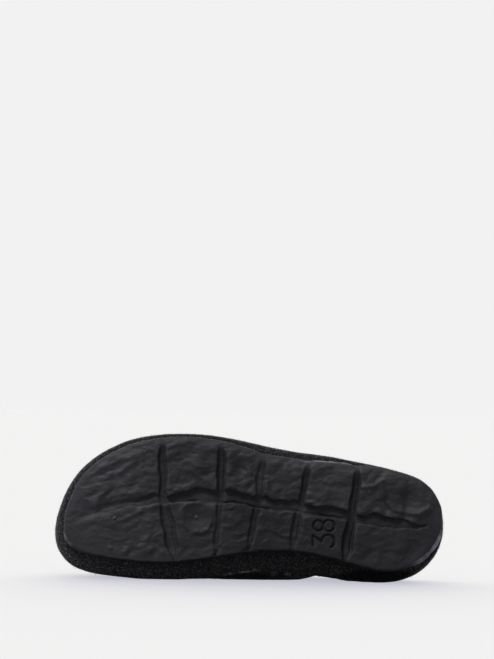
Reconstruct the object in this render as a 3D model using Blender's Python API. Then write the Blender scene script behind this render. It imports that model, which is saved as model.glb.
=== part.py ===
"""A left mule slipper in wool felt with a block-tread rubber outsole, lying on its inner side.

Each piece is modelled as the slipper stands, in millimetres: x runs from the toe tip to the heel,
y is positive towards the inner (big toe) side and z is up from the ground. An empty then lays the
slipper on its inner side, with the sole facing -Y and the outer side up.
"""

import math

import bmesh
import bpy
import numpy as np


def named_columns(names, *rows):
    """A short table as one array for each named column."""
    return dict(zip(names.split(), np.array(rows, float).T))


# Driving dimensions, in millimetres
LENGTH = 260.0
BALL_WIDTH = 99.0
INSTEP_HEIGHT = 70.0
HEEL_RIM_HEIGHT = 22.0

# Layers of the sole and the felt wall
OUTSOLE_THICKNESS = 8.0
TREAD_DEPTH = 3.2
MIDSOLE_THICKNESS = 6.0
INSOLE_THICKNESS = 5.0
WALL = 4.0
GAP = 0.3

# How the slipper lies: the sole leans back by this angle, and its weight presses the felt this far
LEAN = math.radians(15.0)
FELT_PRESS = 2.0

# Plan of the felt edge: station as a share of LENGTH, reaches as shares of BALL_WIDTH, and how far
# the felt stands out beyond the rubber on each side, in millimetres
SECTIONS = named_columns(
    "station outer inner outer_ledge inner_ledge",
    (0.010, 0.112, 0.172, 6.6, 7.6),
    (0.038, 0.288, 0.266, 6.0, 9.0),
    (0.131, 0.514, 0.354, 5.8, 10.0),
    (0.254, 0.614, 0.384, 5.0, 9.4),
    (0.400, 0.613, 0.360, 4.8, 10.2),
    (0.577, 0.532, 0.319, 6.6, 12.6),
    (0.754, 0.457, 0.370, 4.4, 9.6),
    (0.877, 0.388, 0.371, 2.6, 5.4),
    (0.954, 0.308, 0.268, 2.2, 4.4),
)
TOE_TIP_REACH, TOE_LEDGE = 0.056, 6.8
HEEL_TIP_REACH, HEEL_LEDGE = -0.010, 1.3

# Side view of the ground line: toe spring, arch under the waist and rounded heel
TOE_SPRING, TOE_SPRING_END = 8.0, 0.30
WAIST_LIFT, WAIST_START, WAIST_END = 2.0, 0.40, 0.75
HEEL_LIFT, HEEL_LIFT_START = 2.5, 0.87

# Rounded felt edge of the midsole, from its lower face up: tuck as a share of the ledge, and rise
MIDSOLE_SIDE = named_columns(
    "tuck rise",
    (0.55, 0.0),
    (0.28, 0.7),
    (0.08, 2.2),
    (0.00, 4.2),
    (0.06, MIDSOLE_THICKNESS),
)

# Cross channels of the tread: stations at the outer edge, the long channel and the inner edge
CROSS_CHANNELS = named_columns(
    "at_outer at_middle at_inner",
    (0.276, 0.284, 0.319),
    (0.430, 0.430, 0.417),
    (0.539, 0.526, 0.503),
    (0.655, 0.632, 0.615),
    (0.780, 0.766, 0.745),
)
# Half of a channel's section: distance from its middle, and depth as a share of TREAD_DEPTH
CHANNEL = named_columns(
    "reach depth",
    (4.4, 0.0),
    (3.1, 0.1),
    (2.2, 0.6),
    (1.4, 1.0),
)
# The long channel runs this far to the inner side of the tread's middle, grows to that over the way
# from a tip, bows back by so much round a station, and is narrower where a side is narrower
LONG_CHANNEL_SHIFT, LONG_CHANNEL_TIP = 3.3, 30.0
BOW_DEPTH, BOW_STATION, BOW_REACH = 3.0, 100.0, 45.0
LONG_CHANNEL_FULL_SPAN = 14.0
LONG_CHANNEL_START, LONG_CHANNEL_END, LONG_CHANNEL_FADE = 13.0, 252.0, 9.0

# Rounded side of the rubber, from the tread's border outwards: reach, rise and share of a channel's cut
OUTSOLE_SIDE = named_columns(
    "reach rise cut",
    (1.3, 0.4, 0.8),
    (2.7, 1.9, 0.5),
    (3.5, 4.4, 0.0),
    (3.4, OUTSOLE_THICKNESS, 0.0),
)
TREAD_BORDER = 3.5

# Crown of the last over the midsole: station along LENGTH and share of INSTEP_HEIGHT
CROWN = named_columns(
    "station height",
    (0.00, 0.45),
    (0.10, 0.55),
    (0.20, 0.68),
    (0.30, 0.82),
    (0.40, 0.95),
    (0.48, 1.00),
    (0.60, 0.95),
    (0.75, 0.76),
    (0.90, 0.66),
    (1.00, 0.66),
)
RIDGE_FRONT, RIDGE_BACK = 0.11, 0.86
RIDGE_SHIFT = 4.0
ARCH_POWER = {"outer": 2.2, "inner": 1.9}
UPPER_STEP = 0.8
THROAT = 0.41
RIM_START = 0.80
TOPLINE_ROUND = 0.58
TOPLINE_SWEEP = 1.9
RIM_CROWN = 1.3

# Footbed inside the slipper: ease to the wall, lean of its edge, cupped heel and raised arch
INSOLE_EASE = 1.2
INSOLE_LEAN = 1.6
HEEL_CUP, HEEL_CUP_START, HEEL_CUP_GROWTH = 3.0, 0.62, 0.2
HEEL_BOWL_STATION, HEEL_BOWL_ASIDE, HEEL_BOWL_BEHIND, HEEL_FLAT = LENGTH - 40.0, 31.0, 32.0, 0.4
ARCH_RISE, ARCH_MIDDLE, ARCH_SPAN, ARCH_SIDE_POWER = 4.5, 0.56, 0.17, 2.5

# Mesh fineness: counts of samples, columns and rows, and shares of a block where the tread has rows
OUTLINE_SAMPLES = 1440
TREAD_END_STEPS = 9
TREAD_BLOCK_STEPS = (1 / 3, 2 / 3)
TREAD_ROW_SHARES = np.array([1.0, 0.92, 0.6, 0.25])
PLATE_COLUMNS = 44
INSOLE_ROWS = 9
UPPER_COLUMNS = 46
THROAT_COLUMNS = (0.08, 0.35)
UPPER_ROWS = 12
TIP_CUT = 0.5

MIDSOLE_BOTTOM = OUTSOLE_THICKNESS + GAP
MIDSOLE_TOP = MIDSOLE_BOTTOM + MIDSOLE_THICKNESS
UPPER_BOTTOM = MIDSOLE_TOP + GAP
INSOLE_BOTTOM = MIDSOLE_TOP + GAP

MM = 0.001


def smooth_curve(xs, ys):
    """A smooth function through the points (xs, ys), level with its end slopes outside them."""
    slopes = np.gradient(ys, xs)

    def at(x):
        x = np.clip(np.asarray(x, float), xs[0], xs[-1])
        i = np.clip(np.searchsorted(xs, x) - 1, 0, len(xs) - 2)
        span = xs[i + 1] - xs[i]
        t = (x - xs[i]) / span
        return (
            ys[i] * (1 + 2 * t) * (1 - t) ** 2
            + slopes[i] * span * t * (1 - t) ** 2
            + ys[i + 1] * t**2 * (3 - 2 * t)
            + slopes[i + 1] * span * t**2 * (t - 1)
        )

    return at


def ease(t):
    """0 to 1 with level ends."""
    t = np.clip(t, 0.0, 1.0)
    return t * t * (3.0 - 2.0 * t)


def ground_line(x):
    """Height of the sole's underside above the floor at station x."""
    share = np.asarray(x, float) / LENGTH
    toe = np.clip((TOE_SPRING_END - share) / TOE_SPRING_END, 0.0, None) ** 2 * TOE_SPRING
    heel = np.clip((share - HEEL_LIFT_START) / (1.0 - HEEL_LIFT_START), 0.0, None) ** 2 * HEEL_LIFT
    along = np.clip((share - WAIST_START) / (WAIST_END - WAIST_START), 0.0, 1.0)
    return toe + heel + WAIST_LIFT * np.sin(math.pi * along) ** 2


def closed_spline(points, samples):
    """Evenly spaced points on the smooth closed curve through the given points."""
    count = len(points)
    chords = np.linalg.norm(np.roll(points, -1, 0) - points, axis=1)
    system = np.zeros((count, count))
    right = np.zeros((count, points.shape[1]))
    for i in range(count):
        before, after = chords[i - 1], chords[i]
        system[i, i - 1] += after
        system[i, i] += 2.0 * (before + after)
        system[i, (i + 1) % count] += before
        step_before = (points[i] - points[i - 1]) / before
        step_after = (points[(i + 1) % count] - points[i]) / after
        right[i] = 3.0 * (after * step_before + before * step_after)
    slopes = np.linalg.solve(system, right)
    dense = []
    for i in range(count):
        j = (i + 1) % count
        t = np.linspace(0.0, 1.0, samples // count, endpoint=False)[:, None]
        dense.append(
            points[i] * (1 + 2 * t) * (1 - t) ** 2
            + slopes[i] * chords[i] * t * (1 - t) ** 2
            + points[j] * t**2 * (3 - 2 * t)
            + slopes[j] * chords[i] * t**2 * (t - 1)
        )
    return np.concatenate(dense)


def felt_outline():
    """The felt edge in plan with its ledge beyond the rubber: toe, outer side, heel, inner side."""
    stations = SECTIONS["station"] * LENGTH
    toe = [(0.0, TOE_TIP_REACH * BALL_WIDTH, TOE_LEDGE)]
    heel = [(LENGTH, HEEL_TIP_REACH * BALL_WIDTH, HEEL_LEDGE)]
    outer = list(zip(stations, -SECTIONS["outer"] * BALL_WIDTH, SECTIONS["outer_ledge"]))
    inner = list(zip(stations, SECTIONS["inner"] * BALL_WIDTH, SECTIONS["inner_ledge"]))
    return closed_spline(np.array(toe + outer + heel + inner[::-1]), OUTLINE_SAMPLES)


def outward(outline):
    """Unit plan normals of a closed outline, pointing away from its inside."""
    along = np.roll(outline, -1, 0)[:, :2] - np.roll(outline, 1, 0)[:, :2]
    normals = np.stack([along[:, 1], -along[:, 0]], axis=1)
    normals /= np.linalg.norm(normals, axis=1)[:, None]
    inside = outline[:, :2].mean(0)
    turn = np.sign(np.sum(normals * (outline[:, :2] - inside), axis=1).sum())
    return normals * turn


def inset(outline, distance):
    """A closed plan outline moved inwards by a distance, or by one for each of its points."""
    distance = np.broadcast_to(distance, len(outline))
    return outline[:, :2] - outward(outline) * distance[:, None]


class Plan:
    """A closed plan outline read as two sides, outer and inner, between its toe and heel tips."""

    def __init__(self, outline):
        toe = int(np.argmin(outline[:, 0]))
        turned = np.roll(outline[:, :2], -toe, 0)
        heel = int(np.argmax(turned[:, 0]))
        there = turned[: heel + 1]
        back = np.concatenate([turned[heel:], turned[:1]])[::-1]
        self.outer, self.inner = sorted((there, back), key=lambda line: line[:, 1].mean())
        self.toe, self.heel = turned[0, 0], turned[heel, 0]

    def reach(self, side, x):
        line = self.outer if side == "outer" else self.inner
        return np.interp(x, line[:, 0], line[:, 1])

    def at_share(self, side, share):
        """Points of one side at shares of its length, from the toe tip to the heel tip."""
        line = self.outer if side == "outer" else self.inner
        run = np.concatenate([[0.0], np.cumsum(np.linalg.norm(np.diff(line, axis=0), axis=1))])
        return np.stack([np.interp(share * run[-1], run, line[:, i]) for i in (0, 1)], axis=-1)

    def columns(self, count):
        """Stations from tip to tip, closer together towards both tips."""
        turn = np.linspace(0.0, math.pi, count)
        low, high = self.toe + TIP_CUT, self.heel - TIP_CUT
        return low + (high - low) * (1.0 - np.cos(turn)) / 2.0


FELT = felt_outline()
FELT_PLAN = Plan(FELT)
RUBBER_PLAN = Plan(inset(FELT, FELT[:, 2]))
TREAD_PLAN = Plan(inset(FELT, FELT[:, 2] + TREAD_BORDER))
UPPER_PLAN = Plan(inset(FELT, UPPER_STEP))
INSOLE_PLAN = Plan(inset(FELT, UPPER_STEP + WALL + INSOLE_EASE))
INSOLE_TOP_PLAN = Plan(inset(FELT, UPPER_STEP + WALL + INSOLE_EASE + INSOLE_LEAN))


def lying_depth(points):
    """How far a point lies towards the floor once the slipper is on its inner side."""
    return points[..., 1] * math.cos(LEAN) + points[..., 2] * math.sin(LEAN)


def press(points, floor_depth, follow=None):
    """Felt that would go through the floor is pressed flat on it, and what is behind follows."""
    extra = np.clip(lying_depth(points) - floor_depth, 0.0, None)
    push = extra[..., None] * np.array([0.0, math.cos(LEAN), math.sin(LEAN)])
    if follow is None:
        return points - push
    return points - push, follow - push


def plan_loop(plan, count):
    """A plan outline as one loop: toe tip, outer side to the heel, heel tip, inner side back."""
    xs = plan.columns(count)
    outer = np.stack([xs, plan.reach("outer", xs)], axis=1)
    inner = np.stack([xs, plan.reach("inner", xs)], axis=1)
    return np.concatenate([plan.outer[:1], outer, plan.outer[-1:], inner[::-1]])


def loop_fill(start, count):
    """Faces that close a loop made by plan_loop, straight across from side to side."""
    outer = [start + 1 + i for i in range(count)]
    inner = [start + 2 * count + 1 - i for i in range(count)]
    faces = [(start, outer[0], inner[0])]
    faces += [(outer[i], outer[i + 1], inner[i + 1], inner[i]) for i in range(count - 1)]
    return faces + [(outer[-1], start + count + 1, inner[-1])]


def ring_faces(lower, upper, count):
    """Faces between two loops of as many points."""
    pairs = [(i, (i + 1) % count) for i in range(count)]
    return [(lower + i, lower + j, upper + j, upper + i) for i, j in pairs]


def raised(plan_points, height):
    """Plan points lifted onto the ground line and then by a height."""
    return np.column_stack([plan_points, ground_line(plan_points[:, 0]) + height])


def build_mesh(name, points, faces, material):
    """A named object from points in millimetres and faces, all facing out."""
    mesh = bpy.data.meshes.new(name)
    mesh.from_pydata((np.asarray(points) * MM).tolist(), [], faces)
    work = bmesh.new()
    work.from_mesh(mesh)
    bmesh.ops.triangulate(work, faces=work.faces[:])
    bmesh.ops.recalc_face_normals(work, faces=work.faces[:])
    work.to_mesh(mesh)
    work.free()
    mesh.materials.append(material)
    made = bpy.data.objects.new(name, mesh)
    bpy.context.scene.collection.objects.link(made)
    return made


def plain_material(name, colour, roughness):
    """A plain material that stands for one kind of stuff."""
    material = bpy.data.materials.new(name)
    material.use_nodes = True
    shader = material.node_tree.nodes["Principled BSDF"]
    shader.inputs["Base Color"].default_value = (*colour, 1.0)
    shader.inputs["Roughness"].default_value = roughness
    return material


def tread_columns():
    """Stations of the tread's columns at the outer edge, the middle and the inner edge, with depths."""
    places = np.stack(list(CROSS_CHANNELS.values()), axis=1) * LENGTH
    reach = np.concatenate([-CHANNEL["reach"], CHANNEL["reach"][::-1]])
    depth = np.concatenate([CHANNEL["depth"], CHANNEL["depth"][::-1]])
    low = np.full(places.shape[1], TREAD_PLAN.toe + TIP_CUT)
    high = np.full(places.shape[1], TREAD_PLAN.heel - TIP_CUT)
    rows, depths = [], []

    def block(start, end, shares):
        for share in shares:
            rows.append(start + (end - start) * share)
            depths.append(0.0)

    steps = np.arange(TREAD_END_STEPS) / TREAD_END_STEPS
    for number, middle in enumerate(places):
        start = middle + reach[0]
        if number == 0:
            block(low, start, 1.0 - np.cos(steps * math.pi / 2))
        else:
            block(last, start, TREAD_BLOCK_STEPS)
        for offset, share in zip(reach, depth):
            rows.append(middle + offset)
            depths.append(share)
        last = middle + reach[-1]
    block(last, high, np.sin((steps + 1 / TREAD_END_STEPS) * math.pi / 2))
    return np.array(rows), np.array(depths)


def tread_middle(x):
    """The middle of the tread at station x."""
    return (TREAD_PLAN.reach("outer", x) + TREAD_PLAN.reach("inner", x)) / 2.0


def long_channel(x):
    """Where the long channel runs at station x."""
    shift = LONG_CHANNEL_SHIFT - BOW_DEPTH * np.exp(-(((x - BOW_STATION) / BOW_REACH) ** 2))
    from_tip = np.minimum(x - TREAD_PLAN.toe, TREAD_PLAN.heel - x)
    return tread_middle(x) + shift * ease(from_tip / LONG_CHANNEL_TIP)


def outsole_mesh():
    """The rubber: a tread of blocks between channels, a rounded side and a plain top."""
    stations, cross = tread_columns()
    middle = np.stack([stations[:, 1], long_channel(stations[:, 1])], axis=1)
    grid, depth = [], []
    for side, at in (("outer", 0), ("inner", 2)):
        edge = np.stack([stations[:, at], TREAD_PLAN.reach(side, stations[:, at])], axis=1)
        span = np.linalg.norm(edge - middle, axis=1)
        near = CHANNEL["reach"][:, None] * np.minimum(1.0, span / LONG_CHANNEL_FULL_SPAN)
        far = near[0] + TREAD_ROW_SHARES[:, None] * (span - near[0])
        distance = np.concatenate([far, near])
        cut = np.concatenate([np.zeros(len(TREAD_ROW_SHARES)), CHANNEL["depth"]])
        points = middle + (edge - middle) * (distance / span)[..., None]
        inside = np.minimum(points[..., 0] - LONG_CHANNEL_START, LONG_CHANNEL_END - points[..., 0])
        along = cut[:, None] * ease(inside / LONG_CHANNEL_FADE)
        order = slice(None) if side == "outer" else slice(None, None, -1)
        grid.append(points[order])
        depth.append(np.maximum(along, cross[None, :])[order])
    grid, depth = np.concatenate(grid), np.concatenate(depth) * TREAD_DEPTH
    rows, cols = depth.shape
    points = [np.column_stack([grid[r], ground_line(grid[r, :, 0]) + depth[r]]) for r in range(rows)]
    points = list(np.concatenate(points))
    faces = []
    for r in range(rows - 1):
        for c in range(cols - 1):
            a, b = r * cols + c, (r + 1) * cols + c
            faces.append((a, a + 1, b + 1, b))
    border = [(0, c) for c in range(cols)] + [(r, cols - 1) for r in range(1, rows)]
    border += [(rows - 1, c) for c in range(cols - 2, -1, -1)] + [(r, 0) for r in range(rows - 2, 0, -1)]
    loop = np.array([grid[r, c] for r, c in border])
    cuts = np.array([depth[r, c] for r, c in border])
    away = outward(loop)
    below = [r * cols + c for r, c in border]
    count = len(border)
    for reach, rise, share in zip(*OUTSOLE_SIDE.values()):
        ring = loop + away * reach
        height = ground_line(ring[:, 0]) + np.maximum(rise, share * cuts)
        start = len(points)
        points += list(np.column_stack([ring, height]))
        here = [start + i for i in range(count)]
        for i in range(count):
            j = (i + 1) % count
            faces.append((below[i], below[j], here[j], here[i]))
        below = here
    outer = below[:cols]
    inner = below[cols + rows - 2 : 2 * cols + rows - 2][::-1]
    faces += [(outer[c], outer[c + 1], inner[c + 1], inner[c]) for c in range(cols - 1)]
    faces.append(tuple(below[cols - 1 : cols + rows - 1]))
    faces.append(tuple(below[2 * cols + rows - 3 :] + below[:1]))
    return np.array(points), faces


def midsole_points():
    """Loops of the felt midsole from its lower to its upper face, with softly rounded edges."""
    loops = []
    for tuck, rise in zip(*MIDSOLE_SIDE.values()):
        plan = Plan(inset(FELT, tuck * FELT[:, 2]))
        loops.append(raised(plan_loop(plan, PLATE_COLUMNS), MIDSOLE_BOTTOM + rise))
    return np.array(loops)


def midsole_faces(loops):
    """Faces of the midsole: lower face, edge and upper face."""
    count = loops.shape[1]
    faces = loop_fill(0, PLATE_COLUMNS)
    for k in range(len(loops) - 1):
        faces += ring_faces(k * count, (k + 1) * count, count)
    return faces + loop_fill((len(loops) - 1) * count, PLATE_COLUMNS)


class UpperNet:
    """Point numbers of the upper's net, with the tips and the closed ridge shared by both sides."""

    def __init__(self, throat, last):
        self.throat = throat
        self.last = last
        self.numbers = {}
        self.places = []

    def number(self, side, j, k):
        both = j in (0, self.last) or (k == UPPER_ROWS and j <= self.throat)
        key = ("both" if both else side, j, k)
        if key not in self.numbers:
            self.numbers[key] = len(self.places)
            self.places.append((side, j, k))
        return self.numbers[key]


def upper_feet(shares):
    """Where the upper's columns start on the felt's edge, and how far along the ridge they aim."""
    feet = {side: UPPER_PLAN.at_share(side, shares) for side in ("outer", "inner")}
    mean = (feet["outer"][:, 0] + feet["inner"][:, 0]) / 2.0
    low, high = UPPER_PLAN.toe, UPPER_PLAN.heel
    mean = (mean - low) / (high - low)
    return feet, mean, LENGTH * (RIDGE_FRONT + (RIDGE_BACK - RIDGE_FRONT) * mean)


def upper_net():
    """The upper's outside as a net of points: from the felt's edge up and over towards the ridge."""
    shares = np.linspace(0.0, 1.0, UPPER_COLUMNS + 1)
    throat = int(np.argmin(np.abs(upper_feet(shares)[2] - THROAT * LENGTH)))
    closer = shares[throat] + np.array(THROAT_COLUMNS) / UPPER_COLUMNS
    shares = np.sort(np.concatenate([shares, closer]))
    feet, mean, ridge_x = upper_feet(shares)
    ridge_y = (UPPER_PLAN.reach("outer", ridge_x) + UPPER_PLAN.reach("inner", ridge_x)) / 2.0
    ridge_y = ridge_y + RIDGE_SHIFT * np.sin(math.pi * mean)
    crown_at = smooth_curve(CROWN["station"] * LENGTH, CROWN["height"] * INSTEP_HEIGHT)
    crown = crown_at(ridge_x)
    back = np.clip((ridge_x - ridge_x[throat]) / (RIM_START * LENGTH - ridge_x[throat]), 0.0, 1.0)
    drop = (1.0 - (1.0 - back) ** TOPLINE_SWEEP) ** TOPLINE_ROUND
    net = UpperNet(throat, len(shares) - 1)
    rise = np.linspace(0.0, 1.0, UPPER_ROWS + 1)
    points = {}
    for side in ("outer", "inner"):
        power = 2.0 / ARCH_POWER[side]
        low = np.arcsin(np.minimum(1.0, HEEL_RIM_HEIGHT / crown) ** (1.0 / power))
        top = math.pi / 2 - (math.pi / 2 - low) * drop
        turn = top[:, None] * rise[None, :]
        over = 1.0 - np.maximum(np.cos(turn), 0.0) ** power
        ridge = np.stack([ridge_x, ridge_y], axis=1)
        plan = feet[side][:, None, :] + (ridge - feet[side])[:, None, :] * over[..., None]
        height = crown_at(plan[..., 0]) * np.sin(turn) ** power
        height += UPPER_BOTTOM + ground_line(plan[..., 0])
        points[side] = np.concatenate([plan, height[..., None]], axis=2)
    faces = []
    for side in ("outer", "inner"):
        for j in range(net.last):
            for k in range(UPPER_ROWS):
                corners = ((j, k), (j + 1, k), (j + 1, k + 1), (j, k + 1))
                face = [net.number(side, *corner) for corner in corners]
                faces.append(tuple(face if side == "outer" else face[::-1]))
    outside = np.array([points[side][j, k] for side, j, k in net.places])
    return net, outside, faces


def point_normals(points, faces):
    """Unit normals of a net's points, from the faces around each."""
    total = np.zeros_like(points)
    for face in faces:
        a, b, c, d = (points[i] for i in face)
        turned = np.cross(c - a, d - b)
        for i in face:
            total[i] += turned
    return total / np.linalg.norm(total, axis=1)[:, None]


def upper_mesh(net, outside, faces, floor_depth):
    """The hollow upper: the outside, an inside one wall thickness within, a rim and a lower edge."""
    normals = point_normals(outside, faces)
    centre = outside.mean(0)
    if np.sum((outside - centre) * normals) < 0.0:
        normals = -normals
    for number, (side, j, k) in enumerate(net.places):
        if k == 0:
            normals[number, 2] = 0.0
            normals[number] /= np.linalg.norm(normals[number])
    inside = outside - normals * WALL
    outside, inside = press(outside, floor_depth, inside)
    count = len(outside)
    points = list(outside) + list(inside)
    made = list(faces) + [tuple(i + count for i in face[::-1]) for face in faces]
    crest = {}

    def crest_point(side, j):
        number = net.number(side, j, UPPER_ROWS)
        if number not in crest:
            below = net.number(side, j, UPPER_ROWS - 1)
            up = outside[number] - outside[below]
            up = up / np.linalg.norm(up)
            crest[number] = len(points)
            points.append((outside[number] + inside[number]) / 2.0 + up * RIM_CROWN)
        return crest[number]

    for side in ("outer", "inner"):
        for j in range(net.last):
            a, b = net.number(side, j, 0), net.number(side, j + 1, 0)
            made.append((a, b, b + count, a + count))
            if j >= net.throat:
                a, b = net.number(side, j, UPPER_ROWS), net.number(side, j + 1, UPPER_ROWS)
                c, d = crest_point(side, j), crest_point(side, j + 1)
                made.append((a, b, d, c))
                made.append((c, d, b + count, a + count))
    return np.array(points), made


def insole_mesh():
    """The footbed: flat below, with a cupped heel and a raised arch above."""
    loop = plan_loop(INSOLE_PLAN, PLATE_COLUMNS)
    upper_loop = plan_loop(INSOLE_TOP_PLAN, PLATE_COLUMNS)
    count = len(loop)

    def top_height(plan):
        share = plan[:, 0] / LENGTH
        outer = INSOLE_PLAN.reach("outer", plan[:, 0])
        inner = INSOLE_PLAN.reach("inner", plan[:, 0])
        across = np.clip((plan[:, 1] - outer) / np.maximum(inner - outer, 1.0), 0.0, 1.0)
        bowl_middle = tread_middle(np.minimum(plan[:, 0], HEEL_BOWL_STATION))
        aside = (plan[:, 1] - bowl_middle) / HEEL_BOWL_ASIDE
        behind = np.maximum(plan[:, 0] - HEEL_BOWL_STATION, 0.0) / HEEL_BOWL_BEHIND
        cup = HEEL_CUP * ease((np.hypot(aside, behind) - HEEL_FLAT) / (1.0 - HEEL_FLAT))
        cup *= ease((share - HEEL_CUP_START) / HEEL_CUP_GROWTH)
        arch = ARCH_RISE * np.exp(-(((share - ARCH_MIDDLE) / ARCH_SPAN) ** 2)) * across**ARCH_SIDE_POWER
        return INSOLE_BOTTOM + INSOLE_THICKNESS + cup + arch

    points = list(raised(loop, INSOLE_BOTTOM))
    top = raised(upper_loop, 0.0)
    top[:, 2] += top_height(upper_loop)
    points += list(top)
    faces = loop_fill(0, PLATE_COLUMNS) + ring_faces(0, count, count)
    outer = [count + 1 + i for i in range(PLATE_COLUMNS)]
    inner = [count + 2 * PLATE_COLUMNS + 1 - i for i in range(PLATE_COLUMNS)]
    strips = [outer]
    outer_edge = np.array([points[i][:2] for i in outer])
    inner_edge = np.array([points[i][:2] for i in inner])
    for r in range(1, INSOLE_ROWS):
        plan = outer_edge + (inner_edge - outer_edge) * r / INSOLE_ROWS
        strip = raised(plan, 0.0)
        strip[:, 2] += top_height(plan)
        strips.append([len(points) + i for i in range(PLATE_COLUMNS)])
        points += list(strip)
    strips.append(inner)
    for r in range(INSOLE_ROWS):
        for i in range(PLATE_COLUMNS - 1):
            faces.append((strips[r][i], strips[r][i + 1], strips[r + 1][i + 1], strips[r + 1][i]))
    faces.append(tuple([count] + [strip[0] for strip in strips]))
    faces.append(tuple([count + PLATE_COLUMNS + 1] + [strip[-1] for strip in strips[::-1]]))
    return np.array(points), faces


for old in list(bpy.data.objects):
    bpy.data.objects.remove(old)

rubber = plain_material("rubber_black", (0.021, 0.021, 0.023), 0.6)
felt = plain_material("felt_charcoal", (0.030, 0.029, 0.030), 0.95)
footbed = plain_material("felt_footbed", (0.036, 0.035, 0.036), 0.95)

net, outside, net_faces = upper_net()
midsole_loops = midsole_points()
floor_depth = max(lying_depth(outside).max(), lying_depth(midsole_loops).max()) - FELT_PRESS
midsole_loops = press(midsole_loops, floor_depth)

made = [
    build_mesh("outsole", *outsole_mesh(), rubber),
    build_mesh("midsole", midsole_loops.reshape(-1, 3), midsole_faces(midsole_loops), felt),
    build_mesh("upper", *upper_mesh(net, outside, net_faces, floor_depth), felt),
    build_mesh("insole", *insole_mesh(), footbed),
]

# Lay the slipper on its inner side, its bottom on z = 0 and its box centred over the origin
tilt = -(math.pi / 2 + LEAN)
every = np.concatenate([np.array([vertex.co[:] for vertex in item.data.vertices]) for item in made])
across = every[:, 1] * math.cos(tilt) - every[:, 2] * math.sin(tilt)
middle_x = (every[:, 0].min() + every[:, 0].max()) / 2.0
middle_y = (across.min() + across.max()) / 2.0
lying = bpy.data.objects.new("lying", None)
bpy.context.scene.collection.objects.link(lying)
lying.rotation_euler = (tilt, 0.0, 0.0)
lying.location = (-middle_x, -middle_y, floor_depth * MM)
for item in made:
    item.parent = lying

triangles = {item.name: len(item.data.polygons) for item in made}
print("triangles", triangles, "in all", sum(triangles.values()))
print("floor depth mm", round(float(floor_depth), 3))
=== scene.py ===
# %% [markdown]
# A felt mule slipper, lying on its inner side with its rubber sole towards us. The packed solids give
# the true shape and size; this lesson dresses them: a moulded rubber tread with rough blocks, wool
# felt with light and dark flecks, and the fine fuzz that softens the edge of every felt piece.

# %% Load the packed solids
import math

import bmesh
import bpy
import numpy as np
from mathutils import Matrix, Vector, noise


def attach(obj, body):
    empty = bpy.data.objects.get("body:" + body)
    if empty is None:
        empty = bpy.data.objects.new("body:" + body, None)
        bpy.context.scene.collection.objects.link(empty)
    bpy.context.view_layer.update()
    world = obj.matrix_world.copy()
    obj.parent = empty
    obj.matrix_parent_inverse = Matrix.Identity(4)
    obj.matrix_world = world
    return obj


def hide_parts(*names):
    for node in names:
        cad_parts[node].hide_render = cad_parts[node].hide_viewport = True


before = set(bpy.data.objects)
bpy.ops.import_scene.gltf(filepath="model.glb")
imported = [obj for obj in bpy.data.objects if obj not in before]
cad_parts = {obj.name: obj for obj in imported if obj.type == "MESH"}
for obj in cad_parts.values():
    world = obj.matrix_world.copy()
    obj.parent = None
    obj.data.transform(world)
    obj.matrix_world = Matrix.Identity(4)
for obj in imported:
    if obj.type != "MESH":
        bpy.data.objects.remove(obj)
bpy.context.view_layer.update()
MM = 0.001

# %% [markdown]
# The slipper leans back by fifteen degrees as it lies. To place a channel or a crease it is easier to
# think of the slipper standing on its sole, so two helpers turn points from the row's frame into the
# slipper's own millimetres and back: x from the toe tip, y towards the inner side, h up from the ground.

# %% The slipper's own frame
LEAN = math.radians(15.0)
TURN = np.array(
    [
        [1.0, 0.0, 0.0],
        [0.0, -math.sin(LEAN), math.cos(LEAN)],
        [0.0, -math.cos(LEAN), -math.sin(LEAN)],
    ]
)
MIDDLE_ABOVE_FLOOR = 50.0


def at_points(mesh, what):
    """A vector at each point of a mesh, such as its place or its normal."""
    flat = np.zeros(len(mesh.vertices) * 3)
    mesh.vertices.foreach_get(what, flat)
    return flat.reshape(-1, 3)


def node_points(name):
    """A node's points in the row frame, in millimetres."""
    return at_points(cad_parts[name].data, "co") / MM


toe_x = node_points("midsole")[:, 0].min()
ground = (node_points("outsole") @ np.array([0.0, math.cos(LEAN), -math.sin(LEAN)])).min()
origin_y = (ground + MIDDLE_ABOVE_FLOOR * math.sin(LEAN)) / math.cos(LEAN)
ORIGIN = np.array([toe_x, origin_y, MIDDLE_ABOVE_FLOOR])


def to_slipper(points):
    """Row millimetres to the slipper's own x, y and h."""
    return (points - ORIGIN) @ TURN


def to_row(points):
    """The slipper's own x, y and h to row millimetres."""
    return points @ TURN.T + ORIGIN


LENGTH = np.ptp(node_points("midsole")[:, 0])
print("length mm", round(float(LENGTH), 1), "origin mm", np.round(ORIGIN, 2).tolist())

# %% [markdown]
# The camera stands low in front of the sole, as in the photograph: a long lens keeps the outline
# nearly flat, and it is tilted up a little so that the slipper sits low in the frame.

# %% Camera
FRAME_PIXELS = (494, 659)
LENS_MM = 100.0
SENSOR_MM = 36.0
CAMERA_DISTANCE = 1.253
CAMERA_ELEVATION = math.radians(3.0)
CAMERA_ROLL = math.radians(0.9)
AIM = Vector((0.0, 0.0, 0.048))
AIM_PIXEL = (249.0, 505.0)

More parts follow.
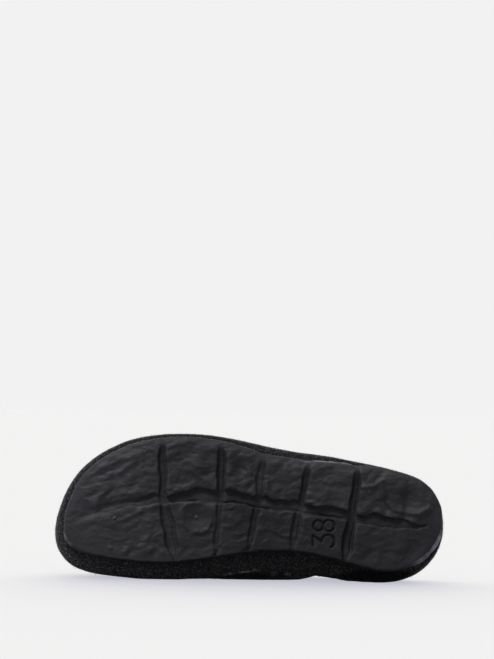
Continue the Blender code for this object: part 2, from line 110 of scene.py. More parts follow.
eye = AIM + CAMERA_DISTANCE * Vector((0.0, -math.cos(CAMERA_ELEVATION), math.sin(CAMERA_ELEVATION)))
camera_data = bpy.data.cameras.new("camera")
camera_data.lens = LENS_MM
camera_data.sensor_width = SENSOR_MM
camera_data.dof.use_dof = False
camera = bpy.data.objects.new("camera", camera_data)
bpy.context.scene.collection.objects.link(camera)
bpy.context.scene.camera = camera
pixels_per_unit = LENS_MM / SENSOR_MM * max(FRAME_PIXELS)
right = (AIM_PIXEL[0] - FRAME_PIXELS[0] / 2) / pixels_per_unit
down = (AIM_PIXEL[1] - FRAME_PIXELS[1] / 2) / pixels_per_unit
level = Matrix.Rotation(math.pi / 2 - CAMERA_ELEVATION, 4, "X")
rolled = Matrix.Rotation(CAMERA_ROLL, 4, "Z")
aside = Matrix.Rotation(math.atan(right), 4, "Y") @ Matrix.Rotation(math.atan(down), 4, "X")
camera.matrix_world = Matrix.Translation(eye) @ level @ rolled @ aside
print("camera at", [round(v, 3) for v in eye])

# %% [markdown]
# Plain studio light. A pale floor runs into a pale surround, as on a table of white acrylic that is lit
# a little from below: the camera sees that glow, and shadows on it stay pale. The surround is bright
# behind the slipper and dim in front, where the studio is dark, so that black rubber keeps its depth and
# its edges catch a rim of light. A soft sun stands for the soft box up on the left. It lights the slipper
# alone, because a soft box that is flagged off the table leaves no shadow beside the shoe.

# %% Floor, light and surround
PALE = 0.887
FLOOR_HALF = 40.0
FLOOR_TONE, FLOOR_SEEN = (0.64, 0.64, 0.66, 1.0), (0.400, 0.398, 0.304, 1.0)
FLOOR_GLOW, GLOW_TINT = 0.585, (0.855, 0.855, 1.0, 1.0)
BRIGHT_FROM = (-0.10, 0.99, -0.10)
BRIGHT_LIGHT, DIM_LIGHT = 2.9, 0.28
LIGHT_TINT = (0.985, 0.99, 1.0, 1.0)
BRIGHT_EDGE = (-0.1, 0.7)
SUN_FROM = (-0.36, -0.16, 0.92)
SUN_STRENGTH = 2.75
SUN_SPREAD = math.radians(26.0)


def link_new(name, data):
    """A new object in the scene."""
    made = bpy.data.objects.new(name, data)
    bpy.context.scene.collection.objects.link(made)
    return made


def add_node(tree, kind, **settings):
    """A new node in a tree, with its settings."""
    node = tree.nodes.new(kind)
    for key, value in settings.items():
        setattr(node, key, value)
    return node


def floor_material():
    """Matte pale acrylic; the camera sees a little cool light from below, so shadows are cool."""
    material = bpy.data.materials.new("pale_floor")
    material.use_nodes = True
    tree = material.node_tree
    shader = tree.nodes["Principled BSDF"]
    shader.inputs["Roughness"].default_value = 1.0
    shader.inputs["Specular IOR Level"].default_value = 0.0
    shader.inputs["Emission Color"].default_value = GLOW_TINT
    path = add_node(tree, "ShaderNodeLightPath")
    tint = add_node(tree, "ShaderNodeMixRGB")
    tint.inputs["Color1"].default_value = FLOOR_TONE
    tint.inputs["Color2"].default_value = FLOOR_SEEN
    tree.links.new(path.outputs["Is Camera Ray"], tint.inputs["Fac"])
    tree.links.new(tint.outputs["Color"], shader.inputs["Base Color"])
    seen = add_node(tree, "ShaderNodeMath", operation="MULTIPLY")
    seen.inputs[1].default_value = FLOOR_GLOW
    tree.links.new(path.outputs["Is Camera Ray"], seen.inputs[0])
    tree.links.new(seen.outputs["Value"], shader.inputs["Emission Strength"])
    return material


floor_mesh = bpy.data.meshes.new("floor")
corner_signs = ((-1, -1), (1, -1), (1, 1), (-1, 1))
floor_corners = [(x * FLOOR_HALF, y * FLOOR_HALF, 0.0) for x, y in corner_signs]
floor_mesh.from_pydata(floor_corners, [], [(0, 1, 2, 3)])
floor_mesh.materials.append(floor_material())
floor = link_new("floor", floor_mesh)


def surround():
    """A world that shows pale everywhere and lights more from behind than from the front."""
    world = bpy.data.worlds.new("surround")
    world.use_nodes = True
    tree = world.node_tree
    tree.nodes.clear()
    kinds = ("TexCoord", "VectorMath", "MapRange", "Background", "LightPath", "MixShader", "OutputWorld")
    way, facing, reach, lights, path, either, out = [add_node(tree, "ShaderNode" + kind) for kind in kinds]
    seen = add_node(tree, "ShaderNodeBackground")
    seen.inputs["Color"].default_value = (PALE, PALE, PALE, 1.0)
    reach.interpolation_type = "SMOOTHSTEP"
    for socket, value in zip(reach.inputs[1:5], (*BRIGHT_EDGE, DIM_LIGHT, BRIGHT_LIGHT)):
        socket.default_value = value
    facing.operation = "DOT_PRODUCT"
    facing.inputs[1].default_value = BRIGHT_FROM
    tree.links.new(way.outputs["Generated"], facing.inputs[0])
    tree.links.new(facing.outputs["Value"], reach.inputs["Value"])
    tree.links.new(reach.outputs["Result"], lights.inputs["Strength"])
    lights.inputs["Color"].default_value = LIGHT_TINT
    tree.links.new(path.outputs["Is Camera Ray"], either.inputs["Fac"])
    tree.links.new(lights.outputs["Background"], either.inputs[1])
    tree.links.new(seen.outputs["Background"], either.inputs[2])
    tree.links.new(either.outputs["Shader"], out.inputs["Surface"])
    return world


bpy.context.scene.world = surround()
sun_data = bpy.data.lights.new("overhead", "SUN")
sun_data.energy = SUN_STRENGTH
sun_data.angle = SUN_SPREAD
sun = link_new("overhead", sun_data)
sun.rotation_euler = Vector(SUN_FROM).to_track_quat("Z", "Y").to_euler()
off_table = bpy.data.collections.new("off_table")
off_table.objects.link(floor)
off_table.collection_objects[0].light_linking.link_state = "EXCLUDE"
sun.light_linking.receiver_collection = off_table
bpy.context.scene.view_settings.view_transform = "Standard"
print("floor half width", FLOOR_HALF, "m, sun from", SUN_FROM)

# %% [markdown]
# The rubber's outline is read from the packed solid, so that the dressed sole keeps its form: at many
# stations along the length we note where the solid's edges reach furthest to either side, and how high
# the top of the rubber stands, which gives the toe spring and the arch. The solid is faceted, so both
# are softened a little before they are used.

# %% Outline of the rubber
TIP_STEP = 0.15
STATION_COUNT, TOP_SOFT = 500, 17
LOOP_COUNT, LOOP_SOFT = 1800, 25


def node_edges(name):
    """A node's edges as two arrays of points in the slipper's frame."""
    points = to_slipper(node_points(name))
    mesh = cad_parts[name].data
    ends = np.zeros(len(mesh.edges) * 2, int)
    mesh.edges.foreach_get("vertices", ends)
    ends = ends.reshape(-1, 2)
    return points[ends[:, 0]], points[ends[:, 1]]


def spans(name, stations, axis):
    """Lowest and highest value along an axis where a node's edges cross each station."""
    start, end = node_edges(name)
    low, high = [], []
    for x in stations:
        crossing = (start[:, 0] - x) * (end[:, 0] - x) <= 0.0
        a, b = start[crossing], end[crossing]
        run = b[:, 0] - a[:, 0]
        share = np.where(np.abs(run) > 1e-9, (x - a[:, 0]) / np.where(run == 0.0, 1.0, run), 0.0)
        values = a[:, axis] + (b[:, axis] - a[:, axis]) * share
        low.append(values.min())
        high.append(values.max())
    return np.array(low), np.array(high)


def even_steps(line, count, to_end=True):
    """A line of points resampled at even steps."""
    run = np.concatenate([[0.0], np.cumsum(np.linalg.norm(np.diff(line, axis=0), axis=1))])
    at = np.linspace(0.0, run[-1], count, endpoint=to_end)
    return np.stack([np.interp(at, run, line[:, i]) for i in range(line.shape[1])], axis=1)


def soften_loop(loop, width):
    """A closed loop with its facets rounded off by a moving average of that many points."""
    weights = np.hanning(width + 2)[1:-1]
    weights = weights / weights.sum()
    padded = np.concatenate([loop[-width:], loop, loop[:width]])
    soft = [np.convolve(padded[:, i], weights, "same")[width:-width] for i in range(loop.shape[1])]
    return np.stack(soft, axis=1)


rubber_points = to_slipper(node_points("outsole"))
tip_low, tip_high = rubber_points[:, 0].min(), rubber_points[:, 0].max()
turn = np.linspace(0.0, math.pi, STATION_COUNT)
stations = (tip_low + tip_high) / 2 - (tip_high - tip_low - 2 * TIP_STEP) / 2 * np.cos(turn)
outer_edge, inner_edge = spans("outsole", stations, 1)
top_edge = spans("outsole", stations, 2)[1]
RUBBER_THICKNESS = float(np.percentile(top_edge, 2))
soft_top = np.convolve(np.pad(top_edge, TOP_SOFT // 2, "edge"), np.ones(TOP_SOFT) / TOP_SOFT, "valid")
there, back = np.stack([stations, outer_edge], axis=1), np.stack([stations, inner_edge], axis=1)[::-1]
closed_loop = np.concatenate([there, back, there[:1]])
RUBBER_LOOP = soften_loop(even_steps(closed_loop, LOOP_COUNT, to_end=False), LOOP_SOFT)


def ground_line(x):
    """Height of the sole's underside above the ground at a station."""
    return np.interp(x, stations, soft_top) - RUBBER_THICKNESS


print("rubber", round(float(tip_high - tip_low), 1), "mm long,", round(RUBBER_THICKNESS, 2), "mm thick")

# %% [markdown]
# The tread is one net: ribs run from a line along the middle out to the border, and later up the rounded
# side. The net is fine enough, about half a millimetre, to carry the channels, the rough faces of the
# blocks and the size number as real shape. In a few places the rubber draws back from the felt, so the
# border is notched there first.

# %% Net of the tread
SIDE_COUNT = 450
TREAD_ROWS = 82
TREAD_BORDER = 1.0
SPINE_END = 24.0
# The long channel runs this far towards the inner side, and bows back by so much round a station
LONG_SHIFT, BOW_DEPTH, BOW_STATION, BOW_REACH = 3.3, 3.0, 100.0, 45.0
# Where the rubber's edge draws back from the felt: station, depth, half length, and -1 for the outer
# side or 1 for the inner side
EDGE_NOTCHES = (
    (71.0, 0.5, 5.0, -1),
    (139.0, 0.9, 5.0, -1),
    (150.0, 0.7, 28.0, -1),
    (168.5, 1.0, 5.0, -1),
    (201.5, 1.3, 4.0, -1),
    (107.0, 0.5, 2.5, 1),
    (128.0, 0.5, 3.0, 1),
)


def bell(value, middle, reach):
    """1 at the middle, falling off softly to either side."""
    return np.exp(-(((value - middle) / reach) ** 2))


def loop_normals(loop):
    """Unit plan normals of a closed loop, pointing out."""
    along = np.roll(loop, -1, 0) - np.roll(loop, 1, 0)
    normals = np.stack([along[:, 1], -along[:, 0]], axis=1)
    normals /= np.linalg.norm(normals, axis=1)[:, None]
    return normals * np.sign(np.sum(normals * (loop - loop.mean(0)), axis=1).sum())


def split_sides(loop):
    """The loop's outer and inner sides, from toe tip to heel tip, with even steps on each."""
    toe = int(np.argmin(loop[:, 0]))
    turned_loop = np.roll(loop, -toe, 0)
    heel = int(np.argmax(turned_loop[:, 0]))
    first = turned_loop[: heel + 1]
    second = np.concatenate([turned_loop[heel:], turned_loop[:1]])[::-1]
    if first[:, 1].mean() > second[:, 1].mean():
        first, second = second, first
    return [even_steps(line, SIDE_COUNT + 1) for line in (first, second)]


loop_away = loop_normals(RUBBER_LOOP)
drawn_back = np.zeros(len(RUBBER_LOOP))
for notch_x, notch_depth, notch_reach, notch_side in EDGE_NOTCHES:
    near = bell(RUBBER_LOOP[:, 0], notch_x, notch_reach)
    drawn_back += notch_depth * near * (loop_away[:, 1] * notch_side > 0.0)
border_loop = RUBBER_LOOP - loop_away * (TREAD_BORDER + drawn_back)[:, None]
outer_side, inner_side = split_sides(border_loop)


def tread_reach(side, x):
    """How far the tread reaches on one side at station x."""
    return np.interp(x, side[:, 0], side[:, 1])


def tread_middle(x):
    """Where the long channel runs at station x."""
    half = (tread_reach(outer_side, x) + tread_reach(inner_side, x)) / 2
    return half + LONG_SHIFT - BOW_DEPTH * bell(x, BOW_STATION, BOW_REACH)


mean_x = (outer_side[:, 0] + inner_side[:, 0]) / 2
mean_share = (mean_x - mean_x[0]) / (mean_x[-1] - mean_x[0])
spine_x = border_loop[:, 0].min() + SPINE_END + mean_share * (np.ptp(border_loop[:, 0]) - 2 * SPINE_END)
spine = np.stack([spine_x, tread_middle(spine_x)], axis=1)
perimeter = np.concatenate([outer_side, inner_side[-2:0:-1]])
spine_round = np.concatenate([spine, spine[-2:0:-1]])
away = loop_normals(perimeter)
share = np.linspace(0.0, 1.0, TREAD_ROWS + 1)
tread_plan = spine_round[None] + (perimeter - spine_round)[None] * share[:, None, None]
print("tread net", tread_plan.shape[:2], "points")

# %% [markdown]
# Channels cut the tread into twelve blocks. Their walls wander, as if pressed by hand into clay, and
# channels drawn with exact lines would look milled. So each point of the net is pushed aside by a slow
# noise before its distance to a channel is measured. From there we note which side it is on, its share
# of the way to the edge, and how far it is from the border.

# %% Places on the tread
WANDER_X, WANDER_Y = 1.1, 0.8


def ease(value):
    """0 to 1 with level ends."""
    value = np.clip(value, 0.0, 1.0)
    return value * value * (3 - 2 * value)


def stepped(value, start, end):
    """0 before the start and 1 past the end, eased between."""
    return ease((value - start) / (end - start))


def field(plan, scale_x, scale_y, octaves, seed, roughness=0.9):
    """Fractal noise over plan points, with waves of the given lengths in millimetres."""
    made = []
    for x, y in plan.reshape(-1, 2):
        place = Vector((x / scale_x, y / scale_y, seed))
        made.append(noise.fractal(place, roughness, 2.0, octaves))
    return np.array(made).reshape(plan.shape[:-1])


def patches(scale_x, scale_y, seed, cover):
    """Soft patches over the tread, from 0 to 1; a larger cover leaves fewer gaps."""
    return ease(field(tread_plan, scale_x, scale_y, 2, seed) + cover)


x_plan = tread_plan[..., 0]
x_at = x_plan + WANDER_X * field(tread_plan, 12.0, 12.0, 2, 3.1)
y_at = tread_plan[..., 1] + WANDER_Y * field(tread_plan, 13.0, 13.0, 2, 8.7)
middle = tread_middle(x_at)
offset = y_at - middle
outward_side = offset < 0
edge_y = np.where(outward_side, tread_reach(outer_side, x_at), tread_reach(inner_side, x_at))
half_width = np.maximum(np.abs(edge_y - middle), 1.0)
edge_share = np.clip(np.abs(offset) / half_width, 0.0, 1.0)
to_border = np.linalg.norm(perimeter - spine_round, axis=1)[None] * (1.0 - share[:, None])
print("widest half of the tread mm", round(float(half_width.max()), 1))

# %% [markdown]
# A cross channel is a groove with a broad wall towards the toe and a steep wall towards the heel, which
# has a crease at its foot. It gets narrower and shallower towards the border, and some are faint on one
# side. Painted shade darkens the foot of the broad wall, and a painted highlight lightens the edge over
# the steep wall: the cell notes where, and the tone of the rubber uses it later.

# %% Cross channels
# Each row: stations as shares of the length at the outer edge, middle and inner edge; depth shares on
# the outer and inner side; how far from the border it fades there, in millimetres; and how wide it is
# there, as a share of the usual width
CROSS_CHANNELS = (
    (0.276, 0.284, 0.319, 0.72, 0.66, 12.0, 10.0, 1.0, 1.6),
    (0.430, 0.430, 0.417, 0.82, 0.44, 12.0, 12.0, 1.1, 0.8),
    (0.539, 0.526, 0.503, 0.43, 0.48, 10.0, 14.0, 1.1, 1.0),
    (0.655, 0.632, 0.615, 0.70, 0.48, 11.0, 14.0, 1.0, 1.2),
    (0.780, 0.766, 0.745, 0.84, 0.82, 11.0, 12.0, 1.0, 1.4),
)
# Where each wall starts and ends, from the channel's line
CROSS_BROAD, CROSS_STEEP = (-3.5, -2.2), (1.3, 2.7)
# Place and reach of the crease, the painted shade and the painted highlight on the edge
CROSS_FOOT, CROSS_PAINTED_SHADE, CROSS_HIGHLIGHT = (1.1, 0.60), (-2.1, 1.2), (2.9, 0.65)
# Channels taper towards the border over this way, to this share of their width
TAPER_WAY, TAPER_SHARE = 10.0, 0.5
# On the inner side they run out through the edge with this share of their depth
RUN_OUT = 0.5


def groove(distance, broad, steep, bite=0.0):
    """1 on the floor of a channel and 0 outside its walls; a bite moves the broad wall alone."""
    return stepped(distance + bite, *broad) * (1.0 - stepped(distance, *steep))


taper = TAPER_SHARE + (1.0 - TAPER_SHARE) * ease(to_border / TAPER_WAY)
run_out = np.where(outward_side, 0.0, RUN_OUT)
cross, foot, painted_shade, edge_highlight = [np.zeros(offset.shape) for _ in range(4)]
for at_outer, at_middle, at_inner, *by_side in CROSS_CHANNELS:
    at_edge = np.where(outward_side, at_outer, at_inner) * LENGTH
    station = at_middle * LENGTH + (at_edge - at_middle * LENGTH) * edge_share
    deep, fade, wide = [np.where(outward_side, *by_side[i : i + 2]) for i in (0, 2, 4)]
    deep = deep * (run_out + (1 - run_out) * ease(to_border / fade))
    from_line = (x_at - station) / taper / (1.0 + (wide - 1.0) * ease(edge_share * 3.0))
    cross = np.maximum(cross, deep * groove(from_line, CROSS_BROAD, CROSS_STEEP))
    foot = np.maximum(foot, deep * bell(from_line, *CROSS_FOOT))
    painted_shade = np.maximum(painted_shade, deep * bell(from_line, *CROSS_PAINTED_SHADE))
    edge_highlight = np.maximum(edge_highlight, deep * bell(from_line, *CROSS_HIGHLIGHT))
print("cross channels", len(CROSS_CHANNELS), "deepest share", round(float(cross.max()), 2))

# %% [markdown]
# The long channel runs along the foot, from a soft valley at the toe to a shallow end at the heel. Its
# broad wall is on the outer side: it waves, bites into some blocks and leaves a lip along their edge. Its
# steep wall shifts and spreads, and the crease at its foot comes and goes, as in hand-pressed clay.

# %% Long channel
LONG_BROAD, LONG_STEEP, LONG_SHARE = (-4.9, -3.3), (2.0, 3.0), 0.76
# It starts and ends at these stations, over these ways, and grows to its full width from a quarter of it
LONG_START, LONG_END, START_WAY, END_WAY = 9.0, 256.0, 16.0, 14.0
LONG_GROWTH, LONG_NARROW = 78.0, 0.25
# At the toe it is a soft valley: depth share, half width and where it ends
VALLEY_SHARE, VALLEY_HALF, VALLEY_END = 0.36, 3.4, (30.0, 75.0)
# Near the heel tip it loses this share of its depth between two stations
HEEL_EASE, HEEL_RUN = 0.40, (222.0, 240.0)
# Place and reach of the crease, the painted shade, the painted highlight on the edge and the lip
LONG_FOOT, LONG_PAINTED_SHADE, LONG_HIGHLIGHT, LONG_LIP = (1.7, 0.60), (-2.8, 1.7), (3.4, 0.75), (-6.3, 1.4)
LIP_HEIGHT = 0.65
# The crease is patchy: it starts at the ball and is faint on the heel
FOOT_START, FOOT_END, FOOT_FAINT = (72.0, 95.0), (198.0, 214.0), 0.3
# Places where the broad wall bites into a block: station, bite and width
LONG_BITES = ((95.0, 2.6, 5.0), (147.0, 1.2, 6.0), (229.0, 0.8, 3.0), (245.0, -3.3, 10.0))
# How far the broad wall waves, and how far the steep wall shifts and spreads
WAVE_Y, STEEP_SHIFT, STEEP_SPREAD = 2.4, 0.9, 2.0

wave = WAVE_Y * field(tread_plan, 12.0, 40.0, 3, 15.2, 0.6)
for bite_x, bite, bite_width in LONG_BITES:
    wave += bite * bell(x_plan, bite_x, bite_width)
steep_shift = STEEP_SHIFT * field(tread_plan, 9.0, 60.0, 2, 57.0)
steep_end = LONG_STEEP[1] + steep_shift + STEEP_SPREAD * patches(14.0, 60.0, 52.0, 0.4)
steep = (LONG_STEEP[0] + steep_shift, steep_end)
growth = np.clip((x_plan - LONG_START) / LONG_GROWTH, 0.0, 1.0)
from_line = offset / (LONG_NARROW + (1.0 - LONG_NARROW) * growth)
ends = ease((x_plan - LONG_START) / START_WAY) * ease((LONG_END - x_plan) / END_WAY)
past_toe = stepped(x_plan, *VALLEY_END)
along = ends * past_toe * LONG_SHARE * (1.0 - HEEL_EASE * stepped(x_plan, *HEEL_RUN))
valley = ends * (1.0 - past_toe) * VALLEY_SHARE * bell(offset, 0.0, VALLEY_HALF)
between = along * (1.0 - cross)
crease = between * bell(from_line - steep_shift, *LONG_FOOT) * stepped(x_plan, *FOOT_START)
crease *= 1.0 - (1.0 - FOOT_FAINT) * stepped(x_plan, *FOOT_END)
crease *= ease(1.3 * field(tread_plan, 16.0, 80.0, 2, 77.0) + 0.55)
outside = 1.0 - groove(from_line, LONG_BROAD, LONG_STEEP) * along / LONG_SHARE
foot = np.maximum(foot * outside, crease)
# Painted shade at the foot of the broad wall, and a painted highlight on the edge over the steep wall
painted_shade = np.maximum(painted_shade * outside, between * bell(from_line + wave, *LONG_PAINTED_SHADE))
edge_highlight = np.maximum(edge_highlight * outside, between * bell(from_line - steep_shift, *LONG_HIGHLIGHT))
lip = LIP_HEIGHT * between * patches(9.0, 30.0, 44.0, 0.55) * bell(from_line + wave, *LONG_LIP)
along = np.maximum(along * groove(from_line, LONG_BROAD, steep, wave), valley)
channel = cross + along - cross * along
print("share of the tread in channels", round(float((channel > 0.5).mean()), 3))

# %% [markdown]
# The block faces look like crumpled clay: soft folds, short strokes with sharp crests that run along the
# foot and rise towards the heel, and broken facets on the heel. Sharp crests come from noise that is
# folded at zero, and facets from the cells of a Voronoi pattern, each tipped its own way. The inner
# blocks and the toe tip are calmer, and the outer blocks fall away to the edge in a soft shoulder.

# %% Rough faces of the blocks
# Soft folds: height, wave lengths along and across the stroke, its rise in degrees, seed
FOLDS = ((0.70, 15.0, 10.0, 10.0, 2.9), (0.20, 7.0, 5.0, 0.0, 6.6))
# Crumples with sharp crests, or sharp creases where the height is below zero
CRUMPLES = (
    (0.38, 15.0, 9.0, 8.0, 5.9),
    (-0.34, 12.0, 8.0, -4.0, 18.7),
    (0.17, 7.0, 5.0, 10.0, 12.4),
    (0.08, 3.2, 2.6, 0.0, 9.4),
)
# Slow bends of all strokes, along and across the foot: amount, wave lengths, seed
BENDS = ((5.0, (26.0, 20.0), 24.3), (3.0, (28.0, 20.0), 35.1))
# Facets: size, tilt, width of the creases, turn in degrees, and their share away from the heel
FACET_SIZE, FACET_TILT, FACET_CREASE, FACET_RISE, FACET_SHARE = 17.0, 0.17, 0.30, 35.0, 0.25
# Strength of the relief, its share on the inner side and at the toe tip, what it loses on the heel, the
# raised rim of a block, and what the relief loses on a channel's floor
RELIEF, INNER_SHARE, TOE_SHARE, HEEL_CALM, RIM, FLOOR_CALM = 1.05, 0.75, 0.3, 0.45, 0.8, 0.8
# The heel's faces start between these shares of the length
HEEL_FACES = (0.62, 0.78)
# The toe's calm ends this far past a station: outer side, then inner side
TOE_CALM_START, TOE_CALM_WAY = 8.0, (22.0, 45.0)
# Calm border in millimetres and the share of relief left on its edge: outer side, then inner side
BORDER_WIDTH, BORDER_SHARE = (5.0, 7.0), (0.45, 0.0)
# Shoulder of the outer edge: drop and width along the foot, then on the heel
SHOULDER, HEEL_SHOULDER = (1.5, 7.0), (2.0, 8.5)


def extent(values):
    """Lowest and highest value, rounded to be printed."""
    return [round(float(value), 2) for value in (values.min(), values.max())]


def turned(plan, degrees):
    """Plan points turned so that a stroke that rises by an angle runs along the first axis."""
    angle = math.radians(degrees)
    along_stroke = plan[..., 0] * math.cos(angle) - plan[..., 1] * math.sin(angle)
    across_stroke = plan[..., 0] * math.sin(angle) + plan[..., 1] * math.cos(angle)
    return np.stack([along_stroke, across_stroke], axis=-1)


def crests(plan, scale_x, scale_y, seed):
    """Noise folded at zero: sharp crests that fall to either side, about 0 on average."""
    return 0.45 - np.abs(field(plan, scale_x, scale_y, 2, seed)) * 2.0


def facets(plan, seed):
    """Tipped facets with creases between them, in millimetres."""
    made = []
    for x, y in plan.reshape(-1, 2) / FACET_SIZE:
        near, cells = noise.voronoi(Vector((x, y, seed)))
        tip = noise.cell_vector(cells[0] * 7.3)
        lean = tip.x * (x - cells[0].x) + tip.y * (y - cells[0].y)
        made.append(lean * min(1.0, (near[1] - near[0]) / FACET_CREASE))
    return FACET_TILT * FACET_SIZE * np.array(made).reshape(plan.shape[:-1])


bends = [amount * field(tread_plan, *waves, 2, seed) for amount, waves, seed in BENDS]
bent = tread_plan + np.stack(bends, axis=-1)
relief = np.zeros(x_plan.shape)
for high, long, short, degrees, seed in FOLDS:
    relief += high * field(turned(bent, degrees), long, short, 2, seed)
for high, long, short, degrees, seed in CRUMPLES:
    relief += high * crests(turned(bent, degrees), long, short, seed)
heel_share = stepped(x_plan / LENGTH, *HEEL_FACES)
relief *= RELIEF * (1.0 - HEEL_CALM * heel_share)
relief += facets(turned(bent, FACET_RISE), 4.4) * (FACET_SHARE + (1.0 - FACET_SHARE) * heel_share)
toe_calm = ease((x_plan - TOE_CALM_START) / np.where(outward_side, *TOE_CALM_WAY))
relief *= (TOE_SHARE + (1.0 - TOE_SHARE) * toe_calm) * np.where(outward_side, 1.0, INNER_SHARE)
rim = np.where(channel < 0.3, channel * (1.0 - channel) * 4.0, 0.0)
relief += RIM * patches(16.0, 16.0, 31.0, 0.5) * rim + lip
border_width, border_share = [np.where(outward_side, *pair) for pair in (BORDER_WIDTH, BORDER_SHARE)]
calm = border_share + (1 - border_share) * ease(to_border / border_width)
calm *= 1.0 - FLOOR_CALM * channel
drop, reach = [a + (b - a) * heel_share for a, b in zip(SHOULDER, HEEL_SHOULDER)]
faces_out = np.clip(-away[:, 1], 0.0, 1.0)[None]
shoulder = drop * faces_out * np.clip(1.0 - to_border / reach, 0.0, 1.0) ** 2
print("relief mm", extent(relief))

# %% [markdown]
# Noise gives the clay its kind of roughness, but the strongest marks have their own places, so they are
# listed one by one: thumb dents and bumps, a few ridges and troughs drawn as short lines, a plain round
# dish with a soft rim, and small pips where the rubber was let into the mould. Each place is a station
# along the length and a height over the floor, because that is how they are read off a picture of the
# lying slipper.

# %% Dents, ridges, dish and pips
# Each dent: station, height over the floor, radius and depth, below zero for what stands up
DENTS = (
    (40.9, 74.7, 6.0, 1.1),
    (39.2, 20.9, 2.8, -0.6),
    (49.4, 18.8, 3.4, -0.9),
    (66.0, 20.3, 3.8, -0.9),
    (73.7, 18.8, 3.2, -0.7),
    (94.3, 75.3, 11.0, -1.0),
    (123.9, 74.7, 7.0, 1.3),
    (234.0, 52.0, 13.0, 2.6),
)
# Each ridge: its points, then its height and half width
RIDGES = (
    (((32.3, 73.3), (43.5, 78.4), (49.4, 79.4)), 0.7, 2.0),
    (((43.5, 70.6), (52.4, 76.3)), 0.7, 1.7),
    (((48.1, 39.7), (59.3, 44.7)), 0.6, 1.7),
    (((216.9, 65.9), (220.2, 54.5), (226.8, 47.8), (242.0, 45.7), (249.5, 49.5)), 1.5, 1.8),
    (((203.8, 62.4), (213.1, 63.3), (218.7, 67.1)), 0.8, 1.5),
)
# Each trough: its points, then depth, half width and painted shade. The first leads from the toe into the
# long channel, and the others are nicks in the inner edge where cross channels run out
TROUGHS = (
    (((11.8, 41.1), (34.2, 48.4), (54.5, 51.9), (69.7, 56.6)), 0.9, 2.0, 0.55),
    (((106.0, 12.3), (111.1, 22.3)), 1.0, 1.3, 0.9),
    (((124.6, 17.2), (129.8, 21.9)), 0.9, 1.3, 0.9),
)
# Near the toe tip a trough keeps this share of its depth, and it grows between two stations
TROUGH_FAINT, TROUGH_GROWS = 0.25, (12.0, 47.0)
# Pips: places, radius, height and the reach of the painted glint on their tips
PIPS = ((95.4, 41.5), (41.3, 40.3))
PIP_RADIUS, PIP_HEIGHT, PIP_REACH = 1.6, 1.1, 0.8
DISH_PLACE, DISH_RADIUS, DISH_DEPTH, DISH_WOBBLE = (95.4, 41.2), 8.6, 1.5, 0.16
# Rim of the dish: its height, then its place and reach as shares of the radius
DISH_RIM, DISH_RIM_AT = 0.6, (1.15, 0.16)


def to_stretch(points, a, b):
    """Distance of each point from a straight stretch, and its share of the way along it."""
    run = b - a
    t = np.clip(((points - a) @ run) / (run @ run), 0.0, 1.0)
    return np.linalg.norm(points - a - t[..., None] * run, axis=-1), t


def stroke_distance(points, strokes):
    """Distance from each point to the nearest stroke."""
    best = np.full(points.shape[:-1], 1e3)
    for line in strokes:
        for a, b in zip(line[:-1], line[1:]):
            best = np.minimum(best, to_stretch(points, a, b)[0])
    return best


def away_from(place):
    """Distance over the face of the tread from a station and a height over the floor."""
    return np.linalg.norm(on_face - place, axis=-1)


tread_z = to_row(np.concatenate([tread_plan, np.zeros(tread_plan.shape[:2] + (1,))], axis=-1))[..., 2]
on_face = np.stack([x_plan, tread_z], axis=-1)
dish_way = away_from(DISH_PLACE) / DISH_RADIUS + DISH_WOBBLE * field(tread_plan, 7.0, 7.0, 2, 61.0)
marks = DISH_DEPTH * (1.0 - ease(dish_way)) - DISH_RIM * bell(dish_way, *DISH_RIM_AT)
for dent_x, dent_z, radius, deep in DENTS:
    marks += deep * (1.0 - ease(away_from((dent_x, dent_z)) / radius))
for line, high, half in RIDGES:
    marks -= high * bell(stroke_distance(on_face, [np.array(line)]), 0.0, half)
grows = TROUGH_FAINT + (1.0 - TROUGH_FAINT) * stepped(x_plan, *TROUGH_GROWS)
# Each trough is cut into the tread and darkened by painted shade
for line, deep, half, shade_share in TROUGHS:
    trough = grows * bell(stroke_distance(on_face, [np.array(line)]), 0.0, half)
    marks += deep * trough
    painted_shade = np.maximum(painted_shade, shade_share * trough)
# Painted glints on the tips of the pips
pip_glint = np.zeros(x_plan.shape)
for pip in PIPS:
    marks -= PIP_HEIGHT * (1.0 - ease(away_from(pip) / PIP_RADIUS))
    pip_glint += bell(away_from(pip), 0.0, PIP_REACH)
print("dents", len(DENTS), "ridges", len(RIDGES), "troughs", len(TROUGHS), "pips", len(PIPS))

# %% [markdown]
# A plain size number is sunk into one inner block. Each digit is a few strokes, straight or arcs, in
# its own upright box; the number reads from the inner side up, with its top towards the toe.

# %% Size number
# Half width of a stroke's floor in the digit's own units; its walls are as wide again
STROKE_HALF = 0.492
# Station of the digits' feet, their scale, and how high over the floor each one starts
DIGIT_FOOT_X, DIGIT_SCALE = 187.0, 0.9
DIGIT_FLOOR_Z = (23.6, 33.4)


def arc(centre, radius, start, end, steps=18):
    """Points on an arc, angles in degrees."""
    angles = np.radians(np.linspace(start, end, steps))
    return np.array(centre) + radius * np.stack([np.cos(angles), np.sin(angles)], axis=1)


THREE = (np.array([(0.6, 16.0), (8.2, 16.0), (3.6, 9.6)]), arc((4.0, 4.9), 4.7, 95.0, -150.0))
EIGHT = (arc((4.4, 12.2), 3.7, 0.0, 360.0, 28), arc((4.4, 4.4), 4.1, 0.0, 360.0, 28))

